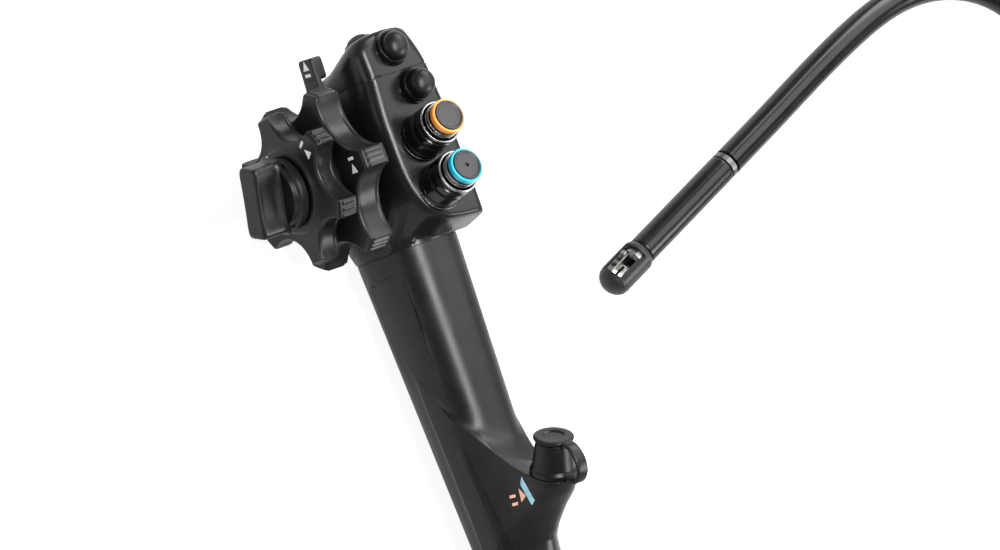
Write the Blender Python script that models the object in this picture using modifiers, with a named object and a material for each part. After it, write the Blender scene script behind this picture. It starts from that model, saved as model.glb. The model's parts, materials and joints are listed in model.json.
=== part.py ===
"""Side-viewing flexible endoscope: control section, insertion tube, bending section and distal end.

The control section lies on its grip and on one lobe of its larger wheel, with the head towards +Y,
the wheels towards -X and the valves up. Its own frame has x away from the wheels, y towards the head
and z towards the valves. The insertion tube lies on the same surface.
"""

import math

import bmesh
import bpy
import numpy as np
from mathutils import Matrix, Vector

MM = 0.001

# Clearances and walls
FIT = 0.3 * MM
WALL = 2.2 * MM

# Head of the control section
HEAD_BACK = 17.0 * MM
HEAD_FRONT = 33.5 * MM
HEAD_WHEEL_SIDE = 16.0 * MM
HEAD_FAR_SIDE = 18.3 * MM
HEAD_SPLIT = 62.5 * MM
HEAD_TOP = 81.0 * MM
HEAD_TOP_SLOPE = 0.354
HEAD_POWER = 5.6

# Grip, its side panel and the boot
GRIP_LENGTH = 150.0 * MM
GRIP_HALF_WIDTH = 18.0 * MM
GRIP_HALF_DEPTH = 19.3 * MM
GRIP_END_RADIUS = 13.8 * MM
GRIP_TAPER = 0.033
GRIP_SHIFT = 1.1 * MM
GRIP_POWER = 2.4
PANEL_TOP = 7.4 * MM
PANEL_FOOT = 16.0 * MM
PANEL_HALF_WIDTH = 12.8 * MM
PANEL_TAPER = 0.05
PANEL_CORNER = 5.0 * MM
PANEL_SUNK = 0.5 * MM
PANEL_THICKNESS = 1.4 * MM
BOOT_LENGTH = 64.0 * MM
BOOT_RING_LENGTH = 6.0 * MM

# Knob axis and the stack on it: places along the axis are counted from the grip's middle plane
KNOB_HEIGHT = 34.3 * MM
KNOB_DEPTH = 12.0 * MM
SPINDLE_RADIUS = 2.5 * MM
SHAFT_WALL = 1.2 * MM
DRUM_RADIUS = 8.0 * MM
DRUM_WIDTH = 4.0 * MM
BOSS_RADIUS = 8.5 * MM
LEVER_HUB_RADIUS = 13.0 * MM
LEVER_THICKNESS = 2.6 * MM
LEVER_BASE = HEAD_WHEEL_SIDE + 3.5 * MM
ELEVATOR_LEVER_REACH = 46.0 * MM
ELEVATOR_LEVER_ANGLE = math.radians(86.0)
ELEVATOR_TAB_LENGTH = 9.5 * MM
ELEVATOR_TAB_WIDTH = 8.4 * MM
BRAKE_LEVER_REACH = 33.0 * MM
BRAKE_LEVER_ANGLE = math.radians(215.0)
BRAKE_TAB_LENGTH = 7.0 * MM
BRAKE_TAB_WIDTH = 9.0 * MM
WHEEL_LOBES = 6
WHEEL_GAP = 1.5 * MM
UD_WHEEL_BASE = LEVER_BASE + 2 * LEVER_THICKNESS + FIT + 1.0 * MM
UD_WHEEL_WIDTH = 12.5 * MM
UD_WHEEL_RADIUS = 34.5 * MM
UD_SCALLOP_DEPTH = 9.8 * MM
UD_SCALLOP_RADIUS = 12.2 * MM
RL_WHEEL_BASE = UD_WHEEL_BASE + UD_WHEEL_WIDTH + WHEEL_GAP
RL_WHEEL_WIDTH = 10.0 * MM
RL_WHEEL_RADIUS = 28.5 * MM
RL_SCALLOP_DEPTH = 8.4 * MM
RL_SCALLOP_RADIUS = 9.8 * MM
RL_WHEEL_PHASE = math.radians(35.0)
BRAKE_BASE = RL_WHEEL_BASE + RL_WHEEL_WIDTH + 2 * FIT
BRAKE_DISC_RADIUS = 13.5 * MM
BRAKE_DISC_WIDTH = 5.6 * MM
BRAKE_BAR_LENGTH = 27.0 * MM
BRAKE_BAR_WIDTH = 10.5 * MM
BRAKE_BAR_HEIGHT = 11.0 * MM

# Valves and switches
VALVE_SLANT = math.radians(11.0)
VALVE_SEAT_RADIUS = 9.3 * MM
VALVE_GAP = 0.7 * MM
AIR_WATER_HEIGHT = 17.2 * MM
SUCTION_HEIGHT = AIR_WATER_HEIGHT + 2 * VALVE_SEAT_RADIUS + VALVE_GAP
VALVE_BARREL_RADIUS = 7.2 * MM
VALVE_BORE_RADIUS = 4.6 * MM
VALVE_BARREL_DEPTH = 8.0 * MM
VALVE_CYLINDER_HEIGHT = 15.0 * MM
BUTTON_HEIGHT = 22.0 * MM
BUTTON_RADIUS = 6.9 * MM
BUTTON_RING_WIDTH = 2.6 * MM
BUTTON_TRAVEL = 3.0 * MM
SPRING_WIRE = 0.7 * MM
SWITCH_RADIUS = 4.9 * MM
SWITCH_COLLAR_RADIUS = 6.1 * MM
SWITCH_HEIGHT = 8.5 * MM
FRONT_SWITCH_HEIGHT = 10.0 * MM
FRONT_SWITCH_GAP = 3.7 * MM
FRONT_SWITCH_SIDE = 4.5 * MM
UPPER_SWITCH_DROP = 8.6 * MM
UPPER_SWITCH_SIDE = 1.5 * MM
TOP_SWITCH_SIDE = -2.0 * MM
TOP_SWITCH_HEIGHT = 4.2 * MM
TOP_SWITCH_DEPTH = 20.0 * MM
SWITCH_TRAVEL = 1.0 * MM

# Instrument port, its branch and its rubber cap
PORT_LEAN = math.radians(31.0)
PORT_RISE = 54.2 * MM
PORT_SEAT_HEIGHT = PORT_RISE - GRIP_LENGTH
PORT_SEAT_DEPTH = 34.5 * MM
PORT_SEAT_SIDE = 4.0 * MM
PORT_NECK_RADIUS = 9.2 * MM
BRANCH_DROP = 14.0 * MM
BRANCH_HALF_LENGTH = 36.0 * MM
BRANCH_HALF_WIDTH = 13.5 * MM
CHANNEL_BORE_RADIUS = 2.1 * MM
PORT_TUBE_RADIUS = 3.2 * MM
PORT_TUBE_LENGTH = 41.0 * MM
CAP_BASE_RADIUS = 8.3 * MM
CAP_TOP_RADIUS = 6.7 * MM
CAP_HEIGHT = 13.0 * MM
LID_THICKNESS = 1.8 * MM
STRAP_REACH = 15.6 * MM
STRAP_WIDTH = 5.0 * MM

# Inlet of the light guide cord, on the side away from the wheels
GLAND_HEIGHT = 22.0 * MM
GLAND_DEPTH = -1.0 * MM
GLAND_LENGTH = 15.0 * MM
GLAND_RADIUS = 9.6 * MM
GLAND_BORE_RADIUS = 5.6 * MM
GLAND_BORE_DEPTH = 11.0 * MM

# Insertion tube: its route is given from the middle of the boot's end, as it lies on the surface
TUBE_RADIUS = 5.65 * MM
COIL_RADIUS = 67.8 * MM
COIL_CENTRE = Vector((107.4, -246.6)) * MM
COIL_TOP = 4 * TUBE_RADIUS + 0.4 * MM
TUBE_LEAD = [(0, -215, 0), (0.5, -236, -0.3), (7, -257, -0.9), (25, -278, -1.4), (51.2, -302.8, -1.5)]
TUBE_RUN = [
    (171.4, -293.7), (210, -262), (240, -214), (262, -160), (286, -104), (307, -58), (317, -18),
    (300, 17), (262, 29), (220, 17), (186, 2.5), (167, -5.2), (155.2, -10.1),
]
TUBE_STATION_COUNT = 30

# Bending section and distal end
DISTAL_RADIUS = 6.55 * MM
BEND_HEADING = math.radians(22.6)
BEND_BASE = Vector((154.6, -10.3)) * MM
WINDOW_ROLL = math.radians(40.0)
HINGE_COUNT = 10
HINGE_PITCH = 4.8 * MM
LINK_RADIUS = 4.7 * MM
LINK_WALL = 0.65 * MM
LINK_LENGTH = 2.3 * MM
EAR_WIDTH = 2.2 * MM
EAR_OVERHANG = 0.8 * MM
PIN_RADIUS = 0.5 * MM
FERRULE_LENGTH = 5.0 * MM
DISTAL_LENGTH = 20.5 * MM
SLOT_START = 4.5 * MM
SLOT_LENGTH = 11.0 * MM
SLOT_FLOOR = -3.9 * MM
SLOT_SHIFT = -0.7 * MM
WINDOW_HEIGHT = 3.6 * MM
ELEVATOR_WIDTH = 3.6 * MM
LENS_STRIP_WIDTH = 2.8 * MM
LENS_RADIUS = 1.0 * MM
PIN_HOLE_RADIUS = 0.75 * MM

# Colours and finishes, as colour, roughness and metallic
SATIN_BLACK = ((0.012, 0.012, 0.013), 0.38, 0.0)
MATT_BLACK = ((0.02, 0.02, 0.021), 0.55, 0.0)
RUBBER_BLACK = ((0.008, 0.008, 0.009), 0.5, 0.0)
STEEL = ((0.55, 0.55, 0.56), 0.25, 1.0)
BRASS = ((0.6, 0.45, 0.2), 0.35, 1.0)
ORANGE = ((0.85, 0.27, 0.04), 0.35, 0.0)
CYAN = ((0.02, 0.45, 0.62), 0.35, 0.0)
DARK_GREY = ((0.05, 0.05, 0.053), 0.45, 0.0)
GLASS = ((0.02, 0.03, 0.05), 0.05, 0.0)


def clear_scene():
    for thing in list(bpy.data.objects):
        bpy.data.objects.remove(thing, do_unlink=True)


clear_scene()
parts = bpy.data.collections.new("flexible_endoscope")
cutters = bpy.data.collections.new("cutters")
for folder in (parts, cutters):
    bpy.context.scene.collection.children.link(folder)


def material(look):
    """One Principled material for a colour, a roughness and a metallic value."""
    colour, roughness, metallic = look
    result = bpy.data.materials.new("finish")
    result.use_nodes = True
    shader = result.node_tree.nodes["Principled BSDF"]
    shader.inputs["Base Color"].default_value = (*colour, 1.0)
    shader.inputs["Roughness"].default_value = roughness
    shader.inputs["Metallic"].default_value = metallic
    result.diffuse_color = (*colour, 1.0)
    return result


def frame(name, parent, origin, x_axis, z_axis):
    """An empty at origin whose x and z axes point along the given directions."""
    z = Vector(z_axis).normalized()
    x = Vector(x_axis)
    x = (x - z * x.dot(z)).normalized()
    y = z.cross(x)
    empty = bpy.data.objects.new(name, None)
    empty.empty_display_size = 0.01
    parts.objects.link(empty)
    empty.parent = parent
    turn = Matrix((x, y, z)).transposed().to_4x4()
    empty.matrix_basis = Matrix.Translation(Vector(origin)) @ turn
    return empty


def add(name, data, parent, look=None):
    """A node of the object, or a hidden helper solid where it has no look."""
    thing = bpy.data.objects.new(name, data)
    (parts if look else cutters).objects.link(thing)
    thing.parent = parent
    if look:
        thing.data.materials.append(material(look))
    else:
        thing.hide_render = True
        thing.display_type = "WIRE"
    return thing


def shade(mesh, angle=35.0):
    """Smooth shading, with edges sharper than the angle kept crisp."""
    mesh.shade_smooth()
    mesh.set_sharp_from_angle(angle=math.radians(angle))


def turned(name, profile, parent, look=None, steps=32):
    """A solid of revolution about z. The profile is (radius, height) pairs down the outer side."""
    points = [(radius, 0.0, height) for radius, height in profile]
    closed = points[0][0] > 0.0 or points[-1][0] > 0.0
    edges = [(i, i + 1) for i in range(len(points) - 1)]
    if closed:
        edges.append((len(points) - 1, 0))
    mesh = bpy.data.meshes.new(name)
    mesh.from_pydata(points, edges, [])
    thing = add(name, mesh, parent, look)
    screw = thing.modifiers.new("turn", "SCREW")
    screw.steps = steps
    screw.render_steps = steps
    screw.angle = math.tau
    screw.use_merge_vertices = True
    screw.merge_threshold = 0.00001
    screw.use_smooth_shade = True
    return thing


def loft(name, rings, parent, look=None):
    """A closed skin through rings of points, with a fan of faces over each end."""
    rings = np.asarray(rings)
    count, around = rings.shape[:2]
    middle = rings[[0, -1]].mean(axis=1)
    points = np.concatenate([rings.reshape(-1, 3), middle])
    first, last = count * around, count * around + 1
    faces = []
    for i in range(count - 1):
        for j in range(around):
            n = (j + 1) % around
            a, b = i * around, (i + 1) * around
            faces.append((a + j, a + n, b + n, b + j))
    for j in range(around):
        n = (j + 1) % around
        faces.append((first, n, j))
        faces.append((last, (count - 1) * around + j, (count - 1) * around + n))
    mesh = bpy.data.meshes.new(name)
    mesh.from_pydata(points.tolist(), [], faces)
    outward(mesh)
    shade(mesh)
    return add(name, mesh, parent, look)


def outward(mesh):
    """Faces turned to point out of the closed mesh."""
    bm = bmesh.new()
    bm.from_mesh(mesh)
    bmesh.ops.recalc_face_normals(bm, faces=bm.faces)
    bm.to_mesh(mesh)
    bm.free()


def block(name, low, high, parent, look=None, rounding=0.0, segments=2):
    """A box between two corners, with its edges rounded."""
    low, high = Vector(low), Vector(high)
    bm = bmesh.new()
    place = Matrix.Translation((low + high) / 2) @ Matrix.Diagonal((*(high - low), 1.0))
    bmesh.ops.create_cube(bm, size=1.0, matrix=place)
    if rounding:
        bmesh.ops.bevel(bm, geom=bm.edges[:], offset=rounding, segments=segments, affect="EDGES", profile=0.5)
    mesh = bpy.data.meshes.new(name)
    bm.to_mesh(mesh)
    bm.free()
    shade(mesh)
    return add(name, mesh, parent, look)


def drum(name, radius, bottom, top, parent, look=None, centre=(0.0, 0.0), steps=24):
    """A plain cylinder along z between two heights."""
    bm = bmesh.new()
    place = Matrix.Translation((*centre, (bottom + top) / 2))
    bmesh.ops.create_cone(
        bm, cap_ends=True, segments=steps, radius1=radius, radius2=radius, depth=top - bottom, matrix=place
    )
    mesh = bpy.data.meshes.new(name)
    bm.to_mesh(mesh)
    bm.free()
    shade(mesh)
    return add(name, mesh, parent, look)


def plate(name, outline, thickness, parent, look=None):
    """A flat outline in x and y, thickened half each way along z."""
    curve = bpy.data.curves.new(name, "CURVE")
    curve.dimensions = "2D"
    curve.fill_mode = "BOTH"
    curve.extrude = thickness / 2
    spline = curve.splines.new("POLY")
    spline.points.add(len(outline) - 1)
    for point, (x, y) in zip(spline.points, outline):
        point.co = (x, y, 0.0, 1.0)
    spline.use_cyclic_u = True
    return meshed(add(name, curve, parent), look)


def meshed(thing, look=None):
    """The curve made a mesh with its caps welded, so that it can be cut and joined."""
    graph = bpy.context.evaluated_depsgraph_get()
    graph.update()
    mesh = bpy.data.meshes.new_from_object(thing.evaluated_get(graph))
    bm = bmesh.new()
    bm.from_mesh(mesh)
    bmesh.ops.remove_doubles(bm, verts=bm.verts, dist=0.000001)
    bmesh.ops.recalc_face_normals(bm, faces=bm.faces)
    bm.to_mesh(mesh)
    bm.free()
    mesh.materials.clear()
    shade(mesh)
    name, parent, place = thing.name, thing.parent, thing.matrix_basis.copy()
    bpy.data.objects.remove(thing, do_unlink=True)
    result = add(name, mesh, parent, look)
    result.matrix_basis = place
    return result


def tube(name, points, radius, parent, look, sides=2):
    """A round bar along points, with filled ends."""
    curve = bpy.data.curves.new(name, "CURVE")
    curve.dimensions = "3D"
    curve.bevel_depth = radius
    curve.bevel_resolution = sides
    curve.use_fill_caps = True
    spline = curve.splines.new("POLY")
    spline.points.add(len(points) - 1)
    for point, place in zip(spline.points, points):
        point.co = (*place, 1.0)
    return add(name, curve, parent, look)


def combine(target, other, operation):
    """A Boolean of the target with a helper solid."""
    step = target.modifiers.new(other.name, "BOOLEAN")
    step.operation = operation
    step.solver = "EXACT"
    step.object = other
    return target


def cut(target, *others):
    for other in others:
        combine(target, other, "DIFFERENCE")
    return target


def join(target, *others):
    for other in others:
        combine(target, other, "UNION")
    return target


def superellipse(count, power):
    """A unit outline between a circle, at power 2, and a square, with points evenly spread in angle."""
    angle = np.linspace(0.0, math.tau, count, endpoint=False) + math.pi / count
    c, s = np.cos(angle), np.sin(angle)
    return np.sign(c) * np.abs(c) ** (2 / power), np.sign(s) * np.abs(s) ** (2 / power)


def section(height, wheel_side, far_side, back, front, power, inset=0.0, count=36):
    """One ring round the control section: x runs from the wheels' side, z from the back to the front."""
    u, w = superellipse(count, power)
    x = (far_side - wheel_side) / 2 + ((far_side + wheel_side) / 2 - inset) * u
    z = (front - back) / 2 + ((front + back) / 2 - inset) * w
    return np.stack([x, np.full(count, height), z], axis=1)


def smooth_path(points, count):
    """Evenly spaced points on a Catmull-Rom curve through the given ones."""
    points = np.asarray(points, dtype=float)
    ends = 2 * points[[0, -1]] - points[[1, -2]]
    p = np.concatenate([ends[:1], points, ends[1:]])
    t = np.linspace(0.0, 1.0, 24, endpoint=False)[:, None]
    pieces = []
    for a, b, c, d in zip(p, p[1:], p[2:], p[3:]):
        pieces.append(0.5 * (2 * b + (c - a) * t + (2 * a - 5 * b + 4 * c - d) * t**2 + (3 * b - a - 3 * c + d) * t**3))
    fine = np.concatenate(pieces + [points[-1:]])
    along = np.concatenate([[0.0], np.cumsum(np.linalg.norm(np.diff(fine, axis=0), axis=1))])
    even = np.linspace(0.0, along[-1], count)
    return np.stack([np.interp(even, along, fine[:, i]) for i in range(3)], axis=1)


def support(half_width, half_depth, power, angle):
    """How far a superelliptic section reaches towards the surface when it is rolled by the angle."""
    q = power / (power - 1)
    return ((half_width * math.sin(angle)) ** q + (half_depth * math.cos(angle)) ** q) ** (1 / q)


def grip_reach(angle):
    """The height of the control section's own origin over a surface that the rolled grip touches."""
    return support(GRIP_HALF_WIDTH, GRIP_HALF_DEPTH, GRIP_POWER, angle) + GRIP_SHIFT * math.sin(angle)


def rest_roll():
    """The roll at which the grip and the lowest lobe of the larger wheel touch the same surface."""
    low, high = 0.0, math.radians(40.0)
    for _ in range(40):
        middle = (low + high) / 2
        wheel = (UD_WHEEL_RADIUS - KNOB_DEPTH) * math.cos(middle) - UD_WHEEL_BASE * math.sin(middle)
        if wheel > grip_reach(middle):
            low = middle
        else:
            high = middle
    return middle


ROLL = rest_roll()
REST_HEIGHT = grip_reach(ROLL)
KNOB_END = BRAKE_BASE + BRAKE_DISC_WIDTH + BRAKE_BAR_HEIGHT
LOWER_END = GRIP_LENGTH + FIT + BOOT_LENGTH
CONTROL_X = (KNOB_END - HEAD_FAR_SIDE - GLAND_LENGTH) * math.cos(ROLL) / 2 - (KNOB_DEPTH + GLAND_RADIUS) * math.sin(ROLL) / 2
CONTROL_Y = (LOWER_END - HEAD_TOP) / 2
control = bpy.data.objects.new("control_frame", None)
parts.objects.link(control)
control.location = (CONTROL_X, CONTROL_Y, REST_HEIGHT)
control.rotation_euler = (0.0, ROLL, 0.0)

knob_frame = frame("knob_axis", control, (0, KNOB_HEIGHT, KNOB_DEPTH), (0, 0, 1), (-1, 0, 0))
valve_normal = (0, math.sin(VALVE_SLANT), math.cos(VALVE_SLANT))
suction_frame = frame("suction_axis", control, (0, SUCTION_HEIGHT, HEAD_FRONT), (1, 0, 0), valve_normal)
air_water_frame = frame("air_water_axis", control, (0, AIR_WATER_HEIGHT, HEAD_FRONT), (1, 0, 0), valve_normal)
front_switch_place = SUCTION_HEIGHT + VALVE_SEAT_RADIUS + FRONT_SWITCH_GAP + SWITCH_COLLAR_RADIUS
front_switch_frame = frame(
    "front_switch_axis", control, (FRONT_SWITCH_SIDE, front_switch_place, HEAD_FRONT), (1, 0, 0), (0, 0, 1)
)
upper_switch_frame = frame(
    "upper_switch_axis", control, (UPPER_SWITCH_SIDE, HEAD_TOP - UPPER_SWITCH_DROP, HEAD_FRONT - 2 * FIT),
    (1, 0, 0), (0, 0.08, 1),
)
top_switch_place = HEAD_TOP - HEAD_TOP_SLOPE * (HEAD_FRONT - TOP_SWITCH_DEPTH)
top_switch_frame = frame(
    "top_switch_axis", control, (TOP_SWITCH_SIDE, top_switch_place, TOP_SWITCH_DEPTH),
    (1, 0, 0), (0, 1, -HEAD_TOP_SLOPE),
)
port_axis = Vector((0, math.cos(PORT_LEAN), math.sin(PORT_LEAN)))
port_out = Vector((0, -math.sin(PORT_LEAN), math.cos(PORT_LEAN)))
port_frame = frame(
    "port_axis", control, (PORT_SEAT_SIDE, PORT_SEAT_HEIGHT, PORT_SEAT_DEPTH), port_out, port_axis
)
gland_frame = frame(
    "gland_axis", control, (HEAD_FAR_SIDE, GLAND_HEIGHT, GLAND_DEPTH), (0, 1, 0), (1, 0, 0)
)

HEAD_STATIONS = [
    (0.0, GRIP_HALF_WIDTH - GRIP_SHIFT, GRIP_HALF_WIDTH + GRIP_SHIFT, GRIP_HALF_DEPTH, GRIP_HALF_DEPTH, GRIP_POWER),
    (0.7 * MM, GRIP_HALF_WIDTH - GRIP_SHIFT, GRIP_HALF_WIDTH + GRIP_SHIFT, GRIP_HALF_DEPTH - 0.4 * MM, 25.5 * MM, 2.8),
    (2.6 * MM, GRIP_HALF_WIDTH - GRIP_SHIFT, HEAD_FAR_SIDE + 0.5 * MM, HEAD_BACK + 1.2 * MM, 30.0 * MM, 3.6),
    (4.8 * MM, HEAD_WHEEL_SIDE + 0.8 * MM, HEAD_FAR_SIDE, HEAD_BACK + 0.5 * MM, HEAD_FRONT - 0.9 * MM, 4.6),
    (7.5 * MM, HEAD_WHEEL_SIDE + 0.4 * MM, HEAD_FAR_SIDE, HEAD_BACK, HEAD_FRONT, HEAD_POWER),
    (18.0 * MM, HEAD_WHEEL_SIDE, HEAD_FAR_SIDE, HEAD_BACK, HEAD_FRONT, HEAD_POWER),
    (45.0 * MM, HEAD_WHEEL_SIDE, HEAD_FAR_SIDE - 0.5 * MM, HEAD_BACK - 0.5 * MM, HEAD_FRONT, HEAD_POWER),
    (HEAD_SPLIT, HEAD_WHEEL_SIDE - 1.5 * MM, HEAD_FAR_SIDE - 2.0 * MM, HEAD_BACK - 2.0 * MM, HEAD_FRONT, HEAD_POWER),
]


def head_housing():
    """The moulded head: open below into the grip and above into its cap, bored for valves and shafts."""
    housing = loft("head_housing", [section(*station) for station in HEAD_STATIONS], control, SATIN_BLACK)
    foot = HEAD_STATIONS[0]
    inner = [section(-WALL, *foot[1:], inset=WALL)]
    inner += [section(station[0] + WALL, *station[1:], inset=WALL) for station in HEAD_STATIONS]
    cavity = loft("head_cavity", inner, control)
    cut(housing, cavity)
    boss = drum("knob_boss", BOSS_RADIUS, HEAD_WHEEL_SIDE - WALL + 0.4 * MM, UD_WHEEL_BASE - 2 * FIT, knob_frame)
    join(housing, boss)
    bore = BOSS_BORE
    cut(housing, drum("knob_bore", bore, HEAD_WHEEL_SIDE - 3 * WALL, UD_WHEEL_BASE, knob_frame))
    for axis in (suction_frame, air_water_frame):
        cut(housing, drum(axis.name + "_hole", VALVE_BARREL_RADIUS + FIT, -3 * WALL, 2 * WALL, axis))
    cut(housing, drum("front_switch_hole", SWITCH_RADIUS - FIT, -3 * WALL, 2 * WALL, front_switch_frame))
    cut(housing, drum("gland_hole", GLAND_BORE_RADIUS + 2 * FIT, -3 * WALL, 2 * WALL, gland_frame))
    return housing


def head_form(name, grow=0.0):
    """The head's outer shape as a helper solid, for seats that follow it."""
    return loft(name, [section(*station, inset=-grow) for station in HEAD_STATIONS], control)


def cap_rings(grow=0.0):
    """Rings of the wedge-shaped cover, whose top slopes down to the back."""
    foot = HEAD_STATIONS[-1]
    rings = []
    for rise, shrink in ((0.0, 0.0), (0.45, 0.5), (0.8, 1.1), (0.93, 2.0), (0.985, 3.4), (1.0, 5.2)):
        ring = section(HEAD_SPLIT + FIT - grow, *foot[1:], inset=shrink * MM - grow)
        top = HEAD_TOP - HEAD_TOP_SLOPE * (HEAD_FRONT - ring[:, 2]) + grow
        ring[:, 1] += rise * (top - ring[:, 1])
        rings.append(ring)
    return rings


def head_top_cap():
    """The wedge-shaped cover of the head."""
    cap = loft("head_top_cap", cap_rings(), control, SATIN_BLACK)
    for axis in (upper_switch_frame, top_switch_frame):
        cut(cap, drum(axis.name + "_hole", SWITCH_RADIUS - FIT, -2.6 * MM, 4 * WALL, axis))
    return cap


def scalloped(angle, radius, depth, scoop):
    """The rim's radius at an angle: a circle with one round bite taken out between every two lobes."""
    reach = radius - depth + scoop
    step = math.tau / WHEEL_LOBES
    off = (angle % step) - step / 2
    under = np.clip(scoop**2 - (reach * np.sin(off)) ** 2, 0.0, None)
    bite = np.where(np.abs(reach * np.sin(off)) < scoop, reach * np.cos(off) - np.sqrt(under), 2 * radius)
    sharp = 1.4 / MM
    return -np.log(np.exp(-sharp * (bite - radius)) + 1.0) / sharp + radius


def wheel(name, base, width, radius, depth, scoop, bore, phase):
    """A bored hand wheel: each ring of its skin follows the scalloped rim more the further out it lies."""
    around = 10 * WHEEL_LOBES
    angle = np.linspace(0.0, math.tau, around, endpoint=False)
    rim = scalloped(angle, radius, depth, scoop)
    angle = angle + phase
    hub = 0.42 * radius
    edge = 1.4 * MM
    skin = [
        (0.0, 0.0, bore), (width, 0.0, bore), (width, 0.0, hub), (width - 1.2 * MM, 0.0, hub + 2.5 * MM),
        (width - 1.2 * MM, 1.0, -edge), (width - 1.2 * MM - edge, 1.0, 0.0), (edge, 1.0, 0.0), (0.0, 1.0, -edge),
    ]
    rings = []
    for height, share, offset in skin:
        r = share * rim + offset
        rings.append(np.stack([r * np.cos(angle), r * np.sin(angle), np.full(around, base + height)], axis=1))
    points = np.concatenate(rings)
    count = len(rings)
    faces = []
    for i in range(count):
        a, b = i * around, ((i + 1) % count) * around
        for j in range(around):
            n = (j + 1) % around
            faces.append((a + j, a + n, b + n, b + j))
    mesh = bpy.data.meshes.new(name)
    mesh.from_pydata(points.tolist(), [], faces)
    outward(mesh)
    shade(mesh)
    return add(name, mesh, knob_frame, SATIN_BLACK)


def drum_shaft(name, inner, outer, bottom, top):
    """A hollow shaft with the grooved wire drum at its inner end."""
    groove = 0.8 * MM
    profile = [
        (outer, top), (outer, bottom + DRUM_WIDTH), (DRUM_RADIUS, bottom + DRUM_WIDTH),
        (DRUM_RADIUS, bottom + 0.7 * DRUM_WIDTH), (DRUM_RADIUS - groove, bottom + 0.5 * DRUM_WIDTH),
        (DRUM_RADIUS, bottom + 0.3 * DRUM_WIDTH), (DRUM_RADIUS, bottom), (inner, bottom), (inner, top),
    ]
    return turned(name, profile, knob_frame, BRASS, steps=16)


def lever(name, base, direction, reach, tab_length, tab_width, tab_base, tab_top):
    """A lever on the head's boss: a ring, a tapered arm and a raised finger tab at its end."""
    inner = BOSS_RADIUS + FIT
    top = base + LEVER_THICKNESS
    thing = turned(
        name, [(LEVER_HUB_RADIUS, top), (LEVER_HUB_RADIUS, base), (inner, base), (inner, top)],
        knob_frame, SATIN_BLACK, steps=32,
    )
    along = Vector((math.cos(direction), math.sin(direction), 0.0))
    arm_frame = frame(name + "_arm", knob_frame, (0, 0, 0), along, (0, 0, 1))
    root = LEVER_HUB_RADIUS - 1.5 * MM
    half = tab_width / 2
    outline = [
        (root, -half - 1.5 * MM), (reach - tab_length, -half), (reach - 1.0 * MM, -half),
        (reach, -half + 1.5 * MM), (reach, half - 1.5 * MM), (reach - 1.0 * MM, half),
        (reach - tab_length, half), (root, half + 1.5 * MM),
    ]
    arm = plate(name + "_arm_plate", outline, LEVER_THICKNESS - 0.2 * MM, arm_frame)
    arm.location = (0.0, 0.0, (base + top) / 2)
    tab = block(
        name + "_tab", (reach - tab_length, -half, tab_base), (reach, half, tab_top), arm_frame, rounding=0.9 * MM
    )
    return join(thing, arm, tab)


def brake_knob():
    """The knob of the smaller wheel's brake: a stepped disc with a thick grip bar across it."""
    bore = SPINDLE_RADIUS + FIT
    disc_top = BRAKE_BASE + BRAKE_DISC_WIDTH
    step = 1.6 * MM
    profile = [
        (0.0, disc_top), (BRAKE_DISC_RADIUS - step, disc_top), (BRAKE_DISC_RADIUS - step, disc_top - step),
        (BRAKE_DISC_RADIUS, disc_top - 1.6 * step), (BRAKE_DISC_RADIUS, BRAKE_BASE), (bore, BRAKE_BASE),
        (bore, disc_top - step), (0.0, disc_top - step),
    ]
    knob = turned("rl_brake_knob", profile, knob_frame, SATIN_BLACK, steps=32)
    low = (-BRAKE_BAR_WIDTH / 2, -BRAKE_BAR_LENGTH / 2, disc_top - 0.8 * MM)
    high = (BRAKE_BAR_WIDTH / 2, BRAKE_BAR_LENGTH / 2, disc_top + BRAKE_BAR_HEIGHT)
    return join(knob, block("brake_bar", low, high, knob_frame, rounding=2.2 * MM))


BOSS_BORE = SPINDLE_RADIUS + 2 * SHAFT_WALL + 3 * FIT
RL_SHAFT_INNER = SPINDLE_RADIUS + FIT
RL_SHAFT_OUTER = RL_SHAFT_INNER + SHAFT_WALL
UD_SHAFT_INNER = RL_SHAFT_OUTER + FIT
UD_SHAFT_OUTER = UD_SHAFT_INNER + SHAFT_WALL
PLATE_SIDE = 4.0 * MM
PLATE_THICKNESS = 2.0 * MM
RL_DRUM_BASE = 0.5 * MM
UD_DRUM_BASE = RL_DRUM_BASE + DRUM_WIDTH + 2 * FIT


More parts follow.
